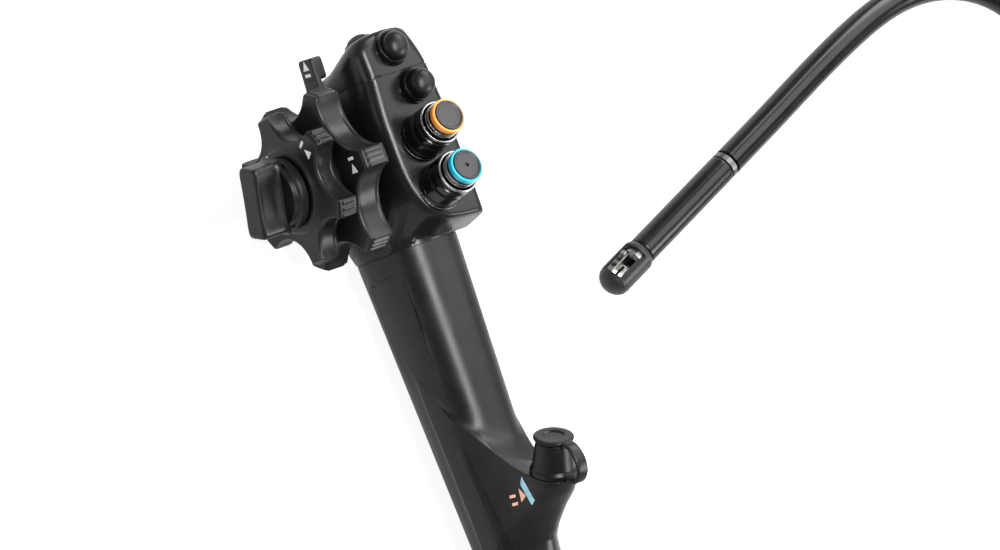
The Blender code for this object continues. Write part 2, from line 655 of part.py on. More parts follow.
def knob_stack():
    """Everything on the knob axis, from the fixed spindle outwards."""
    foot = -PLATE_SIDE + FIT
    disc_top = BRAKE_BASE + BRAKE_DISC_WIDTH
    profile = [
        (0.0, disc_top - 2.2 * MM), (SPINDLE_RADIUS, disc_top - 2.2 * MM), (SPINDLE_RADIUS, foot + 3.6 * MM),
        (2 * SPINDLE_RADIUS, foot + 3.6 * MM), (2 * SPINDLE_RADIUS, foot), (0.0, foot),
    ]
    turned("knob_spindle", profile, knob_frame, STEEL, steps=16)
    drum_shaft("rl_drum_shaft", RL_SHAFT_INNER, RL_SHAFT_OUTER, RL_DRUM_BASE, RL_WHEEL_BASE + RL_WHEEL_WIDTH - FIT)
    drum_shaft("ud_drum_shaft", UD_SHAFT_INNER, UD_SHAFT_OUTER, UD_DRUM_BASE, UD_WHEEL_BASE + UD_WHEEL_WIDTH - FIT)
    lever(
        "ud_brake_lever", LEVER_BASE, BRAKE_LEVER_ANGLE, BRAKE_LEVER_REACH, BRAKE_TAB_LENGTH, BRAKE_TAB_WIDTH,
        LEVER_BASE, LEVER_BASE + LEVER_THICKNESS,
    )
    lever(
        "elevator_lever", LEVER_BASE + LEVER_THICKNESS + FIT, ELEVATOR_LEVER_ANGLE, ELEVATOR_LEVER_REACH,
        ELEVATOR_TAB_LENGTH, ELEVATOR_TAB_WIDTH, LEVER_BASE, LEVER_BASE + 2 * LEVER_THICKNESS + FIT,
    )
    wheel(
        "ud_wheel", UD_WHEEL_BASE, UD_WHEEL_WIDTH, UD_WHEEL_RADIUS, UD_SCALLOP_DEPTH, UD_SCALLOP_RADIUS,
        UD_SHAFT_OUTER + FIT, 0.0,
    )
    wheel(
        "rl_wheel", RL_WHEEL_BASE, RL_WHEEL_WIDTH, RL_WHEEL_RADIUS, RL_SCALLOP_DEPTH, RL_SCALLOP_RADIUS,
        RL_SHAFT_OUTER + FIT, RL_WHEEL_PHASE,
    )
    brake_knob()


def valve(name, axis, ring_look, dimple):
    """One valve: its stepped cylinder in the head, and the sprung button with its colour ring."""
    rim = VALVE_CYLINDER_HEIGHT
    seat = VALVE_SEAT_RADIUS
    top_radius = BUTTON_RADIUS + 1.3 * MM
    well = BUTTON_RADIUS + FIT
    profile = [
        (0.0, rim), (top_radius, rim), (top_radius, rim - 2.2 * MM), (seat - 1.3 * MM, rim - 3.4 * MM),
        (seat - 1.3 * MM, 3.2 * MM), (seat, 2.4 * MM), (seat, -4 * MM), (0.0, -4 * MM),
    ]
    cylinder = turned(name + "_cylinder", profile, axis, SATIN_BLACK, steps=32)
    cut(cylinder, head_form(name + "_face_form", FIT))
    join(cylinder, drum(name + "_barrel", VALVE_BARREL_RADIUS, -VALVE_BARREL_DEPTH, 4 * MM, axis, steps=32))
    well_form = [
        (0.0, rim + 1 * MM), (well, rim + 1 * MM), (well, rim - 6.0 * MM), (VALVE_BORE_RADIUS, rim - 6.0 * MM),
        (VALVE_BORE_RADIUS, -VALVE_BARREL_DEPTH - 1 * MM), (0.0, -VALVE_BARREL_DEPTH - 1 * MM),
    ]
    cut(cylinder, turned(name + "_well", well_form, axis, steps=32))
    stem = VALVE_BORE_RADIUS - FIT
    core = BUTTON_RADIUS - 1.2 * MM
    ring_low = BUTTON_HEIGHT - 0.6 * MM - BUTTON_RING_WIDTH
    neck_top = ring_low - FIT
    profile = [
        (0.0, BUTTON_HEIGHT - dimple), (0.8 * core, BUTTON_HEIGHT - dimple), (core, BUTTON_HEIGHT),
        (core, ring_low - 0.2 * MM), (core, neck_top - 0.6 * MM), (stem, neck_top - 0.6 * MM),
        (stem, -VALVE_BARREL_DEPTH + BUTTON_TRAVEL + 1.0 * MM), (0.0, -VALVE_BARREL_DEPTH + BUTTON_TRAVEL + 1.0 * MM),
    ]
    turned(name + "_button", profile, axis, DARK_GREY, steps=24)
    inner = core + FIT
    ring = [
        (BUTTON_RADIUS - 0.4 * MM, ring_low + BUTTON_RING_WIDTH), (BUTTON_RADIUS, ring_low + BUTTON_RING_WIDTH - 0.5 * MM),
        (BUTTON_RADIUS, ring_low), (inner, ring_low), (inner, ring_low + BUTTON_RING_WIDTH),
    ]
    turned(name + "_colour_ring", ring, axis, ring_look, steps=24)
    low = rim - 6.0 * MM + SPRING_WIRE + FIT
    high = neck_top - 0.6 * MM - SPRING_WIRE - FIT
    turns = 3
    angle = np.linspace(0.0, turns * math.tau, 12 * turns + 1)
    coil = core - 0.2 * MM
    points = np.stack([coil * np.cos(angle), coil * np.sin(angle), np.linspace(low, high, len(angle))], axis=1)
    tube(name + "_spring", points, SPRING_WIRE / 2, axis, STEEL, sides=0)


def switch(name, axis, height, seat_form):
    """A remote switch: a stepped collar, seated on the form it stands on, round a domed rubber cap."""
    deep = -4.0 * MM
    inner = SWITCH_RADIUS + FIT
    collar_top = 0.42 * height
    profile = [
        (SWITCH_COLLAR_RADIUS - 0.6 * MM, collar_top), (SWITCH_COLLAR_RADIUS, collar_top - 0.7 * MM),
        (SWITCH_COLLAR_RADIUS, deep), (inner, deep), (inner, collar_top),
    ]
    cut(turned(name + "_collar", profile, axis, SATIN_BLACK, steps=24), seat_form)
    shoulder = height - 0.62 * SWITCH_RADIUS
    profile = [(0.0, height)]
    for share in (0.38, 0.68, 0.9):
        profile.append((share * SWITCH_RADIUS, shoulder + (height - shoulder) * math.sqrt(1 - share**2)))
    foot = 0.5 * MM + SWITCH_TRAVEL
    stem = SWITCH_RADIUS - 3 * FIT
    profile += [(SWITCH_RADIUS, shoulder), (SWITCH_RADIUS, foot), (stem, foot), (stem, -1.2 * MM), (0.0, -1.2 * MM)]
    turned(name, profile, axis, RUBBER_BLACK, steps=20)


GRIP_STATIONS = [
    (-share * GRIP_LENGTH - FIT, (1 - GRIP_TAPER / GRIP_HALF_WIDTH * share * GRIP_LENGTH))
    for share in (0.0, 0.27, 0.53, 0.8)
]


def grip_rings(inset=0.0, over=0.0):
    """The grip's rings, sunk by the inset, with the two ends run out by the given length."""
    rings = []
    for height, share in GRIP_STATIONS:
        width, depth = share * GRIP_HALF_WIDTH, share * GRIP_HALF_DEPTH
        rings.append(section(height, width - GRIP_SHIFT, width + GRIP_SHIFT, depth, depth, GRIP_POWER, inset))
    end = GRIP_END_RADIUS
    rings.append(section(-GRIP_LENGTH, end, end, end, end, GRIP_POWER, inset))
    rings[0][:, 1] += over
    rings[-1][:, 1] -= over
    return rings


def branch(name, grow=0.0):
    """The fairing from the port's round seat down to a long oval inside the grip."""
    u, w = superellipse(32, 2.0)
    seat = Vector((PORT_SEAT_SIDE, PORT_SEAT_HEIGHT, PORT_SEAT_DEPTH))
    radius = PORT_NECK_RADIUS + grow
    top = np.outer(u, (1, 0, 0)) * radius + np.outer(w, port_out) * radius + np.array(seat)
    oval_depth = 0.4 * GRIP_HALF_DEPTH
    oval_centre = (0.0, PORT_SEAT_HEIGHT - BRANCH_DROP, oval_depth)
    bottom = np.outer(u, (1, 0, 0)) * BRANCH_HALF_WIDTH + np.outer(-w, (0, 1, 0)) * BRANCH_HALF_LENGTH
    bottom = bottom + np.array(oval_centre)
    neck = top - np.array(port_axis) * 5.0 * MM
    rings = [top, neck]
    for share in (0.22, 0.45, 0.7, 1.0):
        ring = neck + (bottom - neck) * share
        ring[:, 0] = neck[:, 0] + (bottom[:, 0] - neck[:, 0]) * share**1.6
        rings.append(ring)
    return loft(name, rings, control)


def panel_outline(length, shrink, steps=5):
    """A slot's outline along x from its top at 0, with rounded corners, narrower the further down."""
    corner = PANEL_CORNER - shrink
    half = PANEL_HALF_WIDTH - shrink - corner
    outline = []
    for x, y, start in ((-shrink - corner, half, 0.0), (shrink + corner - length, half, 90.0)):
        for t in np.radians(np.linspace(start, start + 90.0, steps)):
            outline.append((x + corner * math.cos(t), y + corner * math.sin(t)))
    outline += [(x, -y) for x, y in outline[::-1]]
    return [(x, y * (1 + PANEL_TAPER * x / PANEL_HALF_WIDTH)) for x, y in outline]


def panel_prism(name, shrink=0.0):
    """The side panel's outline, run through the grip's wall on the wheels' side."""
    facing = frame(name + "_frame", control, (-GRIP_HALF_WIDTH, -PANEL_TOP, 0), (0, 1, 0), (-1, 0, 0))
    outline = panel_outline(GRIP_LENGTH - PANEL_TOP - PANEL_FOOT, shrink)
    return plate(name, outline, 1.1 * GRIP_HALF_WIDTH, facing)


def grip():
    """The hollow grip with its port branch, and the thin panel let into its side."""
    shell = loft("grip_shell", grip_rings(), control, SATIN_BLACK)
    join(shell, branch("port_branch_form"))
    cut(shell, loft("grip_cavity", grip_rings(WALL + PANEL_THICKNESS, 1.0 * MM), control))
    recess = panel_prism("panel_recess")
    cut(recess, loft("panel_floor", grip_rings(PANEL_SUNK + PANEL_THICKNESS, 1.0 * MM), control))
    cut(shell, recess)
    bore = drum("port_bore", PORT_TUBE_RADIUS + FIT, -PORT_TUBE_LENGTH - 13 * MM, 1.0 * MM, port_frame, steps=16)
    cut(shell, bore)
    panel = panel_prism("grip_side_panel", FIT)
    parts.objects.link(panel)
    cutters.objects.unlink(panel)
    panel.hide_render = False
    panel.display_type = "TEXTURED"
    panel.data.materials.append(material(MATT_BLACK))
    combine(panel, loft("panel_face", grip_rings(PANEL_SUNK, 2.0 * MM), control), "INTERSECT")
    cut(panel, loft("panel_back", grip_rings(PANEL_SUNK + PANEL_THICKNESS - FIT, 3.0 * MM), control))


def boot():
    """The ring that closes the grip and the tapered boot that leads the tube out of it."""
    down = frame("boot_axis", control, (0, -GRIP_LENGTH - FIT, 0), (1, 0, 0), (0, -1, 0))
    radius = GRIP_END_RADIUS + 0.5 * MM
    turned(
        "boot_ring",
        [(0.0, BOOT_RING_LENGTH), (radius - 0.6 * MM, BOOT_RING_LENGTH), (radius, BOOT_RING_LENGTH - 0.8 * MM),
         (radius, 0.8 * MM), (radius - 0.6 * MM, 0.0), (0.0, 0.0)],
        down, STEEL, steps=32,
    )
    start, end = BOOT_RING_LENGTH + FIT, BOOT_LENGTH
    profile = [(0.0, end)]
    tip = TUBE_RADIUS + 1.7 * MM
    for share in (1.0, 0.8, 0.6, 0.4, 0.2, 0.0):
        height = start + share * (end - start)
        profile.append((tip + (GRIP_END_RADIUS - 0.6 * MM - tip) * (1 - share) ** 1.6, height))
    profile.append((0.0, start))
    turned("boot", profile, down, RUBBER_BLACK, steps=28)


def port():
    """The channel's steel port, the rubber cap on it, and the lid on its strap."""
    inner = CHANNEL_BORE_RADIUS
    turned(
        "port_fitting",
        [(PORT_TUBE_RADIUS + 1.5 * MM, 6.0 * MM), (PORT_TUBE_RADIUS + 1.5 * MM, 4.4 * MM), (PORT_TUBE_RADIUS, 4.0 * MM),
         (PORT_TUBE_RADIUS, -PORT_TUBE_LENGTH), (inner, -PORT_TUBE_LENGTH), (inner, 6.0 * MM)],
        port_frame, STEEL, steps=16,
    )
    socket = PORT_TUBE_RADIUS + 1.5 * MM + FIT
    cap = turned(
        "biopsy_cap",
        [(CAP_TOP_RADIUS, CAP_HEIGHT), (CAP_TOP_RADIUS + 0.3 * MM, CAP_HEIGHT - 2 * MM), (CAP_BASE_RADIUS, 2.5 * MM),
         (CAP_BASE_RADIUS + 0.6 * MM, 1.6 * MM), (CAP_BASE_RADIUS + 0.6 * MM, FIT), (PORT_TUBE_RADIUS + FIT, FIT),
         (PORT_TUBE_RADIUS + FIT, 3.6 * MM), (socket, 3.8 * MM), (socket, 6.8 * MM),
         (inner, 7.2 * MM), (inner, CAP_HEIGHT)],
        port_frame, RUBBER_BLACK, steps=28,
    )
    apex = HINGE_RISE
    half = STRAP_WIDTH / 2
    thick = 1.7 * MM
    lower = strap("lower_strap", (CAP_BASE_RADIUS - 0.5 * MM, 1.2 * MM), (STRAP_REACH, apex - 0.5 * FIT), thick, half)
    join(cap, lower)
    lid_low = CAP_HEIGHT + FIT
    lid_top = lid_low + LID_THICKNESS
    rim = CAP_TOP_RADIUS + 0.7 * MM
    lid = turned(
        "biopsy_lid",
        [(0.0, lid_top - 0.5 * MM), (0.55 * rim, lid_top - 0.5 * MM), (0.62 * rim, lid_top), (rim - 0.5 * MM, lid_top),
         (rim, lid_top - 0.6 * MM), (rim, lid_low), (0.0, lid_low)],
        port_frame, RUBBER_BLACK, steps=28,
    )
    tongue = block(
        "lid_tongue", (-rim - 1.6 * MM, -1.8 * MM, lid_low), (-rim + 2.0 * MM, 1.8 * MM, lid_top), port_frame,
        rounding=0.5 * MM,
    )
    upper = strap("upper_strap", (rim - 1.2 * MM, lid_low + 0.9 * MM), (STRAP_REACH, apex + 0.5 * FIT), thick, half)
    join(lid, tongue, upper)


HINGE_RISE = 0.45 * CAP_HEIGHT


def strap(name, start, end, thick, half):
    """A quarter of the strap's loop: a flat band bent outwards from start to end in the port's x and z."""
    (x0, z0), (x1, z1) = start, end
    outline_out, outline_in = [], []
    for t in np.linspace(0.0, math.pi / 2, 7):
        x = x0 + (x1 - x0) * math.sin(t)
        z = z1 + (z0 - z1) * math.cos(t)
        slope = math.atan2(-(z0 - z1) * math.sin(t), (x1 - x0) * math.cos(t))
        side = 1.0 if z0 > z1 else -1.0
        nx, nz = -math.sin(slope) * side, math.cos(slope) * side
        outline_out.append((x + nx * thick / 2, z + nz * thick / 2))
        outline_in.append((x - nx * thick / 2, z - nz * thick / 2))
    outline = outline_out + outline_in[::-1]
    around = frame(name + "_frame", port_frame, (0, 0, 0), (1, 0, 0), (0, -1, 0))
    return plate(name, outline, 2 * half, around)


def gland():
    """The inlet that takes the light guide cord: a flange on the head and a round bored nose."""
    flange = GLAND_RADIUS + 2.4 * MM
    seat = 0.8 * MM
    profile = [
        (GLAND_RADIUS - 1.6 * MM, GLAND_LENGTH), (GLAND_RADIUS, GLAND_LENGTH - 1.2 * MM), (GLAND_RADIUS, 5.0 * MM),
        (flange, 3.6 * MM), (flange, seat), (GLAND_BORE_RADIUS + FIT, seat),
        (GLAND_BORE_RADIUS + FIT, -WALL), (0.0, -WALL), (0.0, GLAND_LENGTH - GLAND_BORE_DEPTH),
        (GLAND_BORE_RADIUS, GLAND_LENGTH - GLAND_BORE_DEPTH), (GLAND_BORE_RADIUS, GLAND_LENGTH),
    ]
    turned("cord_gland", profile, gland_frame, SATIN_BLACK, steps=32)


def inner_frame():
    """The base plate that carries the spindle, and the instrument channel down to the boot."""
    upright = frame("plate_frame", control, (PLATE_SIDE + PLATE_THICKNESS / 2, 0, 0), (0, 1, 0), (1, 0, 0))
    low, high = PORT_SEAT_HEIGHT - 20 * MM, HEAD_SPLIT - 4 * MM
    narrow, wide = 9.0 * MM, 12.5 * MM
    outline = [(low, -narrow), (-2 * MM, -narrow), (6 * MM, -wide), (high, -wide), (high, wide), (6 * MM, wide),
               (-2 * MM, narrow), (low, narrow)]
    plate("base_plate", [(x, -y) for x, y in outline], PLATE_THICKNESS, upright, BRASS)
    start = Vector((PORT_SEAT_SIDE, PORT_SEAT_HEIGHT, PORT_SEAT_DEPTH)) - port_axis * (PORT_TUBE_LENGTH + FIT)
    bend = start - port_axis * 6 * MM
    foot = Vector((0.0, -GRIP_LENGTH + 2.2 * MM, 3.0 * MM))
    route = smooth_path([start, bend, foot], 10)
    tube("instrument_channel", route, PORT_TUBE_RADIUS - 0.4 * MM, control, MATT_BLACK, sides=1)


def insertion_tube():
    """The free tube: a lead into the coil, the coil's outer shape, and the run to the bending section."""
    floor = bpy.data.objects.new("tube_frame", None)
    parts.objects.link(floor)
    floor.location = (CONTROL_X, CONTROL_Y, 0.0)
    lead =[(x * MM, y * MM - (LOWER_END - 215 * MM), REST_HEIGHT + z * MM) for x, y, z in TUBE_LEAD]
    lead[0] = (0.0, -LOWER_END - FIT, REST_HEIGHT)
    tube("tube_lead", smooth_path(lead, 8), TUBE_RADIUS, floor, RUBBER_BLACK, sides=4)
    run = [(x * MM, y * MM, TUBE_RADIUS) for x, y in TUBE_RUN]
    run[-1] = (*(run[-1][:2]), DISTAL_RADIUS)
    run[-2] = (*(run[-2][:2]), DISTAL_RADIUS - 0.2 * MM)
    tube("tube_run", smooth_path(run, TUBE_STATION_COUNT), TUBE_RADIUS, floor, RUBBER_BLACK, sides=4)
    middle = frame("coil_axis", floor, (*COIL_CENTRE, 0.0), (1, 0, 0), (0, 0, 1))
    outer, inner = COIL_RADIUS + TUBE_RADIUS, COIL_RADIUS - TUBE_RADIUS
    edge = 0.3 * TUBE_RADIUS
    profile = [
        (outer - edge, COIL_TOP), (outer, COIL_TOP - edge), (outer, edge), (outer - edge, 0.0),
        (inner + edge, 0.0), (inner, edge), (inner, COIL_TOP - edge), (inner + edge, COIL_TOP),
    ]
    turned("tube_coil", profile, middle, RUBBER_BLACK, steps=40)


def link_body(name, parent, look, start, end, outer, inner, ears_at, pins_at, turned_by):
    """A tubular link of the bending section between two places along z.

    Its distal ears stand outside and carry inward pins on the next hinge, and its proximal ears stand
    inside with holes on the last one. Hinges alternate by a quarter turn.
    """
    link = turned(name, [(outer, end), (outer, start), (inner, start), (inner, end)], parent, look, steps=16)
    gap = 0.18 * MM
    root = 0.7 * MM
    if pins_at is not None:
        axis = frame(name + "_pin_frame", parent, (0, 0, pins_at), turned_by[1], (0, 0, 1))
        for side in (-1, 1):
            near, far = sorted((side * (outer - LINK_WALL), side * outer))
            ear = block(
                f"{name}_outer_ear{side}", (near, -EAR_WIDTH / 2, end - root - pins_at),
                (far, EAR_WIDTH / 2, EAR_OVERHANG), axis,
            )
            pin_frame = frame(f"{name}_pin{side}_frame", axis, (0, 0, 0), (0, 0, 1), (side, 0, 0))
            pin = drum(
                f"{name}_pin{side}", PIN_RADIUS, outer - 2 * LINK_WALL - gap - 0.1 * MM, outer - 0.3 * LINK_WALL,
                pin_frame, steps=8,
            )
            join(link, ear, pin)
    if ears_at is not None:
        axis = frame(name + "_ear_frame", parent, (0, 0, ears_at), turned_by[0], (0, 0, 1))
        high = LINK_RADIUS - LINK_WALL - gap
        low = high - LINK_WALL
        for side in (-1, 1):
            near, far = sorted((side * low, side * high))
            ear = block(
                f"{name}_inner_ear{side}", (near, -EAR_WIDTH / 2, -EAR_OVERHANG),
                (far, EAR_WIDTH / 2, end - FIT - ears_at), axis,
            )
            near, far = sorted((side * (low + 0.1 * MM), side * (inner + 0.3 * MM)))
            web = block(
                f"{name}_web{side}", (near, -EAR_WIDTH / 2 + 0.2 * MM, start + 0.25 * MM - ears_at),
                (far, EAR_WIDTH / 2 - 0.2 * MM, end - 0.45 * MM - ears_at), axis,
            )
            join(link, ear, web)
            hole_frame = frame(f"{name}_hole{side}_frame", axis, (0, 0, 0), (0, 0, 1), (side, 0, 0))
            hole = drum(f"{name}_hole{side}", PIN_RADIUS + gap, low - 0.4 * MM, high + 0.15 * MM, hole_frame, steps=8)
            cut(link, hole)
    return link


def bending_section():
    """Ferrule, links and rubber cover, along the z axis of the frame from which the tip points away."""
    tip_way = Vector((-math.cos(BEND_HEADING), -math.sin(BEND_HEADING), 0.0))
    sideways = Vector((-math.sin(BEND_HEADING), math.cos(BEND_HEADING), 0.0))
    window = sideways * math.sin(WINDOW_ROLL) + Vector((0, 0, 1)) * math.cos(WINDOW_ROLL)
    base = (CONTROL_X + BEND_BASE[0], CONTROL_Y + BEND_BASE[1], DISTAL_RADIUS)
    bend = frame("bend_frame", None, base, window, tip_way)
    up_pins, side_pins = (0, 1, 0), (1, 0, 0)
    first = FERRULE_LENGTH + HINGE_PITCH / 2
    inner = LINK_RADIUS - LINK_WALL
    tail = first - HINGE_PITCH / 2 + LINK_LENGTH / 2
    ferrule = link_body(
        "bending_ferrule", bend, STEEL, FIT, tail, LINK_RADIUS, inner, None, first, (None, up_pins)
    )
    collar = [(TUBE_RADIUS, 2.6 * MM), (TUBE_RADIUS, FIT), (inner, FIT), (inner, 2.6 * MM)]
    join(ferrule, turned("ferrule_collar", collar, bend, steps=20))
    for i in range(1, HINGE_COUNT):
        middle = first + (i - 0.5) * HINGE_PITCH
        ways = (up_pins, side_pins) if i % 2 else (side_pins, up_pins)
        link_body(
            f"vertebra_{i:02d}", bend, STEEL, middle - LINK_LENGTH / 2, middle + LINK_LENGTH / 2,
            LINK_RADIUS, inner, middle - HINGE_PITCH / 2, middle + HINGE_PITCH / 2, ways,
        )
    last = first + (HINGE_COUNT - 1) * HINGE_PITCH
    head = last + HINGE_PITCH / 2 - LINK_LENGTH / 2
    link_body(
        "distal_collar", bend, STEEL, head, head + LINK_LENGTH + 0.6 * MM, LINK_RADIUS, inner, last, None, (side_pins, None)
    )
    cover_end = head + LINK_LENGTH - 0.4 * MM
    cover = [(TUBE_RADIUS, cover_end), (TUBE_RADIUS, 2.6 * MM + FIT), (LINK_RADIUS + FIT, 2.6 * MM + FIT), (LINK_RADIUS + FIT, cover_end)]
    turned("bending_rubber", cover, bend, RUBBER_BLACK, steps=24)
    return frame("tip_frame", bend, (0, 0, head + LINK_LENGTH + 0.6 * MM + FIT), (1, 0, 0), (0, 0, 1))


def distal_end(tip):
    """The steel body with its lens strip, the plastic cap round it, the lenses, the nozzle and the elevator."""
    body_radius = DISTAL_RADIUS - 1.6 * MM
    slot_end = SLOT_START + SLOT_LENGTH
    slot_half = ELEVATOR_WIDTH / 2 + 0.5 * MM
    strip_low = SLOT_SHIFT + slot_half
    strip_high = strip_low + LENS_STRIP_WIDTH
    body = drum("distal_body", body_radius, 0.0, SLOT_START - FIT, tip, STEEL, steps=24)
    strip = block(
        "lens_strip", (-2.5 * MM, strip_low, SLOT_START - 0.8 * MM), (WINDOW_HEIGHT, strip_high, slot_end - FIT), tip,
        rounding=0.25 * MM, segments=1,
    )
    join(body, strip)
    channel = (SLOT_FLOOR + CHANNEL_BORE_RADIUS + 0.9 * MM, SLOT_SHIFT)
    cut(body, drum("channel_bore", CHANNEL_BORE_RADIUS, -1 * MM, SLOT_START + 1 * MM, tip, centre=channel, steps=16))
    y = (strip_low + strip_high) / 2
    for name, share in (("objective_lens", 0.68), ("light_lens", 0.38)):
        z = SLOT_START + share * SLOT_LENGTH
        facing = frame(name + "_axis", tip, (WINDOW_HEIGHT, y, z), (0, 0, 1), (1, 0, 0))
        cut(body, drum(name + "_seat", LENS_RADIUS + 0.1 * MM, -1.2 * MM, 1 * MM, facing, steps=16))
        turned(
            name, [(0.0, 0.05 * MM), (LENS_RADIUS, -0.05 * MM), (LENS_RADIUS, -1.1 * MM), (0.0, -1.1 * MM)],
            facing, GLASS, steps=16,
        )
    block(
        "air_water_nozzle", (WINDOW_HEIGHT + FIT / 2, y - 0.9 * MM, SLOT_START + 0.3 * MM),
        (WINDOW_HEIGHT + 1.3 * MM, y + 0.9 * MM, SLOT_START + 2.4 * MM), tip, STEEL, rounding=0.25 * MM, segments=1,
    )
    round_end = 0.8 * DISTAL_RADIUS
    profile = [(0.0, DISTAL_LENGTH)]
    for t in np.linspace(math.pi / 2, 0.0, 6)[1:]:
        profile.append((DISTAL_RADIUS * math.cos(t), DISTAL_LENGTH - round_end + round_end * math.sin(t)))
    profile += [(DISTAL_RADIUS, 1.0 * MM), (DISTAL_RADIUS - 0.7 * MM, -0.4 * MM), (body_radius + FIT, -0.4 * MM),
                (body_radius + FIT, SLOT_START), (0.0, SLOT_START)]
    cap = turned("distal_cap", profile, tip, DARK_GREY, steps=32)
    well = block(
        "cap_well", (SLOT_FLOOR - FIT, SLOT_SHIFT - slot_half, SLOT_START - 1 * MM),
        (DISTAL_RADIUS + 2 * MM, strip_low + FIT, slot_end), tip,
    )
    strip_seat = block(
        "strip_seat", (-2.5 * MM - FIT, strip_low, SLOT_START - 1.2 * MM),
        (DISTAL_RADIUS + 2 * MM, strip_high + FIT, slot_end), tip,
    )
    flat = block(
        "cap_flat", (WINDOW_HEIGHT + 0.3 * MM, -DISTAL_RADIUS - 1 * MM, SLOT_START - 2.4 * MM),
        (DISTAL_RADIUS + 2 * MM, DISTAL_RADIUS + 1 * MM, slot_end + 1.6 * MM), tip, rounding=0.8 * MM,
    )
    cut(cap, well, strip_seat, flat)
    elevator(tip)


PIVOT_HEIGHT = SLOT_FLOOR + 1.5 * MM
PIVOT_PLACE = SLOT_START + 2.4 * MM


def elevator(tip):
    """The lever that lifts an instrument out of the slot: a bored root and a ramp that thins to its end."""
    pivot = frame("elevator_axis", tip, (PIVOT_HEIGHT, SLOT_SHIFT, PIVOT_PLACE), (1, 0, 0), (0, -1, 0))
    root = 1.3 * MM
    length = 6.6 * MM
    outline = [(root * math.cos(t), root * math.sin(t)) for t in np.linspace(-math.pi, 0.0, 7)]
    outline += [(root, 0.35 * length), (1.5 * MM, 0.65 * length), (1.0 * MM, length), (-0.2 * MM, length),
                (-1.1 * MM, 0.5 * length)]
    thing = plate("elevator", outline, ELEVATOR_WIDTH - FIT, pivot, STEEL)
    cut(thing, drum("elevator_hole", PIN_HOLE_RADIUS, -ELEVATOR_WIDTH, ELEVATOR_WIDTH, pivot, steps=12))
    half = ELEVATOR_WIDTH / 2 + 0.35 * MM
    drum("elevator_pin", PIN_HOLE_RADIUS - 0.15 * MM, -half, half, pivot, STEEL, steps=12)


head_housing()
head_top_cap()
knob_stack()
valve("suction", suction_frame, ORANGE, 0.5 * MM)
valve("air_water", air_water_frame, CYAN, 0.5 * MM)
cap_form = loft("cap_form", cap_rings(FIT), control)
switch("front_switch", front_switch_frame, FRONT_SWITCH_HEIGHT, head_form("front_switch_form", FIT))
switch("upper_switch", upper_switch_frame, SWITCH_HEIGHT, cap_form)
switch("top_switch", top_switch_frame, TOP_SWITCH_HEIGHT, cap_form)
grip()
boot()
port()
gland()
inner_frame()
insertion_tube()
distal_end(bending_section())
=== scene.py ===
"""Looks of the flexible endoscope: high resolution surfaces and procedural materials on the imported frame."""

import json
import math

import bmesh
import bpy
import numpy as np
from mathutils import Matrix, Vector


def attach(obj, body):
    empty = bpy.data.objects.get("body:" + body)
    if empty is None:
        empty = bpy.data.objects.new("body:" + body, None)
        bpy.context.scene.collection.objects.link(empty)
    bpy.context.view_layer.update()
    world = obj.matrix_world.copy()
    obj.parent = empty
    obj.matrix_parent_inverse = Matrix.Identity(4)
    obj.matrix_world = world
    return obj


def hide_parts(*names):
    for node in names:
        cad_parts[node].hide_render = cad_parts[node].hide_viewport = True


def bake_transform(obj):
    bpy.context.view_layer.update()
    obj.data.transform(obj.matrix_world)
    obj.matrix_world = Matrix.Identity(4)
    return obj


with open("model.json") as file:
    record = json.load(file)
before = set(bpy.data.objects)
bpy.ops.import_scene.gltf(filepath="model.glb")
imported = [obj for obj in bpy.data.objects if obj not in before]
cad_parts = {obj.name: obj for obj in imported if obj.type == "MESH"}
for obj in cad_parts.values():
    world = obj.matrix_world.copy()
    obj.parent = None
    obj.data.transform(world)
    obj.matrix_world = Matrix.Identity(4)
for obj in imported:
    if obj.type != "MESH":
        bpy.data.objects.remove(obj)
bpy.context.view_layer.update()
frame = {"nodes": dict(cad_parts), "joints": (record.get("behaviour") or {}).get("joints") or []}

# Own frame of the control section: x away from the wheels, y towards the head, z towards the valves.
# It is read from the larger wheel's joint, whose point lies KNOB_REACH out on the knob axis.
MM = 0.001
JOINTS = {joint["name"]: joint for joint in frame["joints"]}
KNOB_HEIGHT, KNOB_DEPTH, KNOB_REACH = 34.3, 12.0, 30.0


def axes(origin, x_axis, z_axis, inside=None):
    """A 4 by 4 matrix whose x and z columns point along the given directions, in millimetres."""
    z = np.array(z_axis, float) / np.linalg.norm(z_axis)
    x = np.array(x_axis, float)
    x = x - z * (x @ z)
    x /= np.linalg.norm(x)
    place = np.eye(4)
    place[:3, 0], place[:3, 1], place[:3, 2], place[:3, 3] = x, np.cross(z, x), z, origin
    return place if inside is None else inside @ place


outward = np.array(JOINTS["ud_wheel"]["axis"])
ROLL = math.asin(outward[2])
knob_point = np.array(JOINTS["ud_wheel"]["pos_m"]) / MM
turn = axes((0, 0, 0), (math.cos(ROLL), 0, -math.sin(ROLL)), (math.sin(ROLL), 0, math.cos(ROLL)))
CONTROL = turn.copy()
CONTROL[:3, 3] = knob_point - turn[:3, :3] @ (-KNOB_REACH, KNOB_HEIGHT, KNOB_DEPTH)
KNOB = axes((0, KNOB_HEIGHT, KNOB_DEPTH), (0, 0, 1), (-1, 0, 0), CONTROL)
BEND_WAY = np.array(JOINTS["bend_01"]["axis"])
BEND_UP = np.array(JOINTS["bend_02"]["axis"])
BEND_OUT = np.cross(BEND_UP, BEND_WAY)
HINGE_PITCH, FIRST_HINGE, HINGES = 4.8, 7.4, 10
BEND = axes(np.array(JOINTS["bend_01"]["pos_m"]) / MM - BEND_OUT * FIRST_HINGE, BEND_UP, BEND_OUT)


def placed(name, data):
    """A new object of the scene that shows the data."""
    item = bpy.data.objects.new(name, data)
    bpy.context.scene.collection.objects.link(item)
    return item


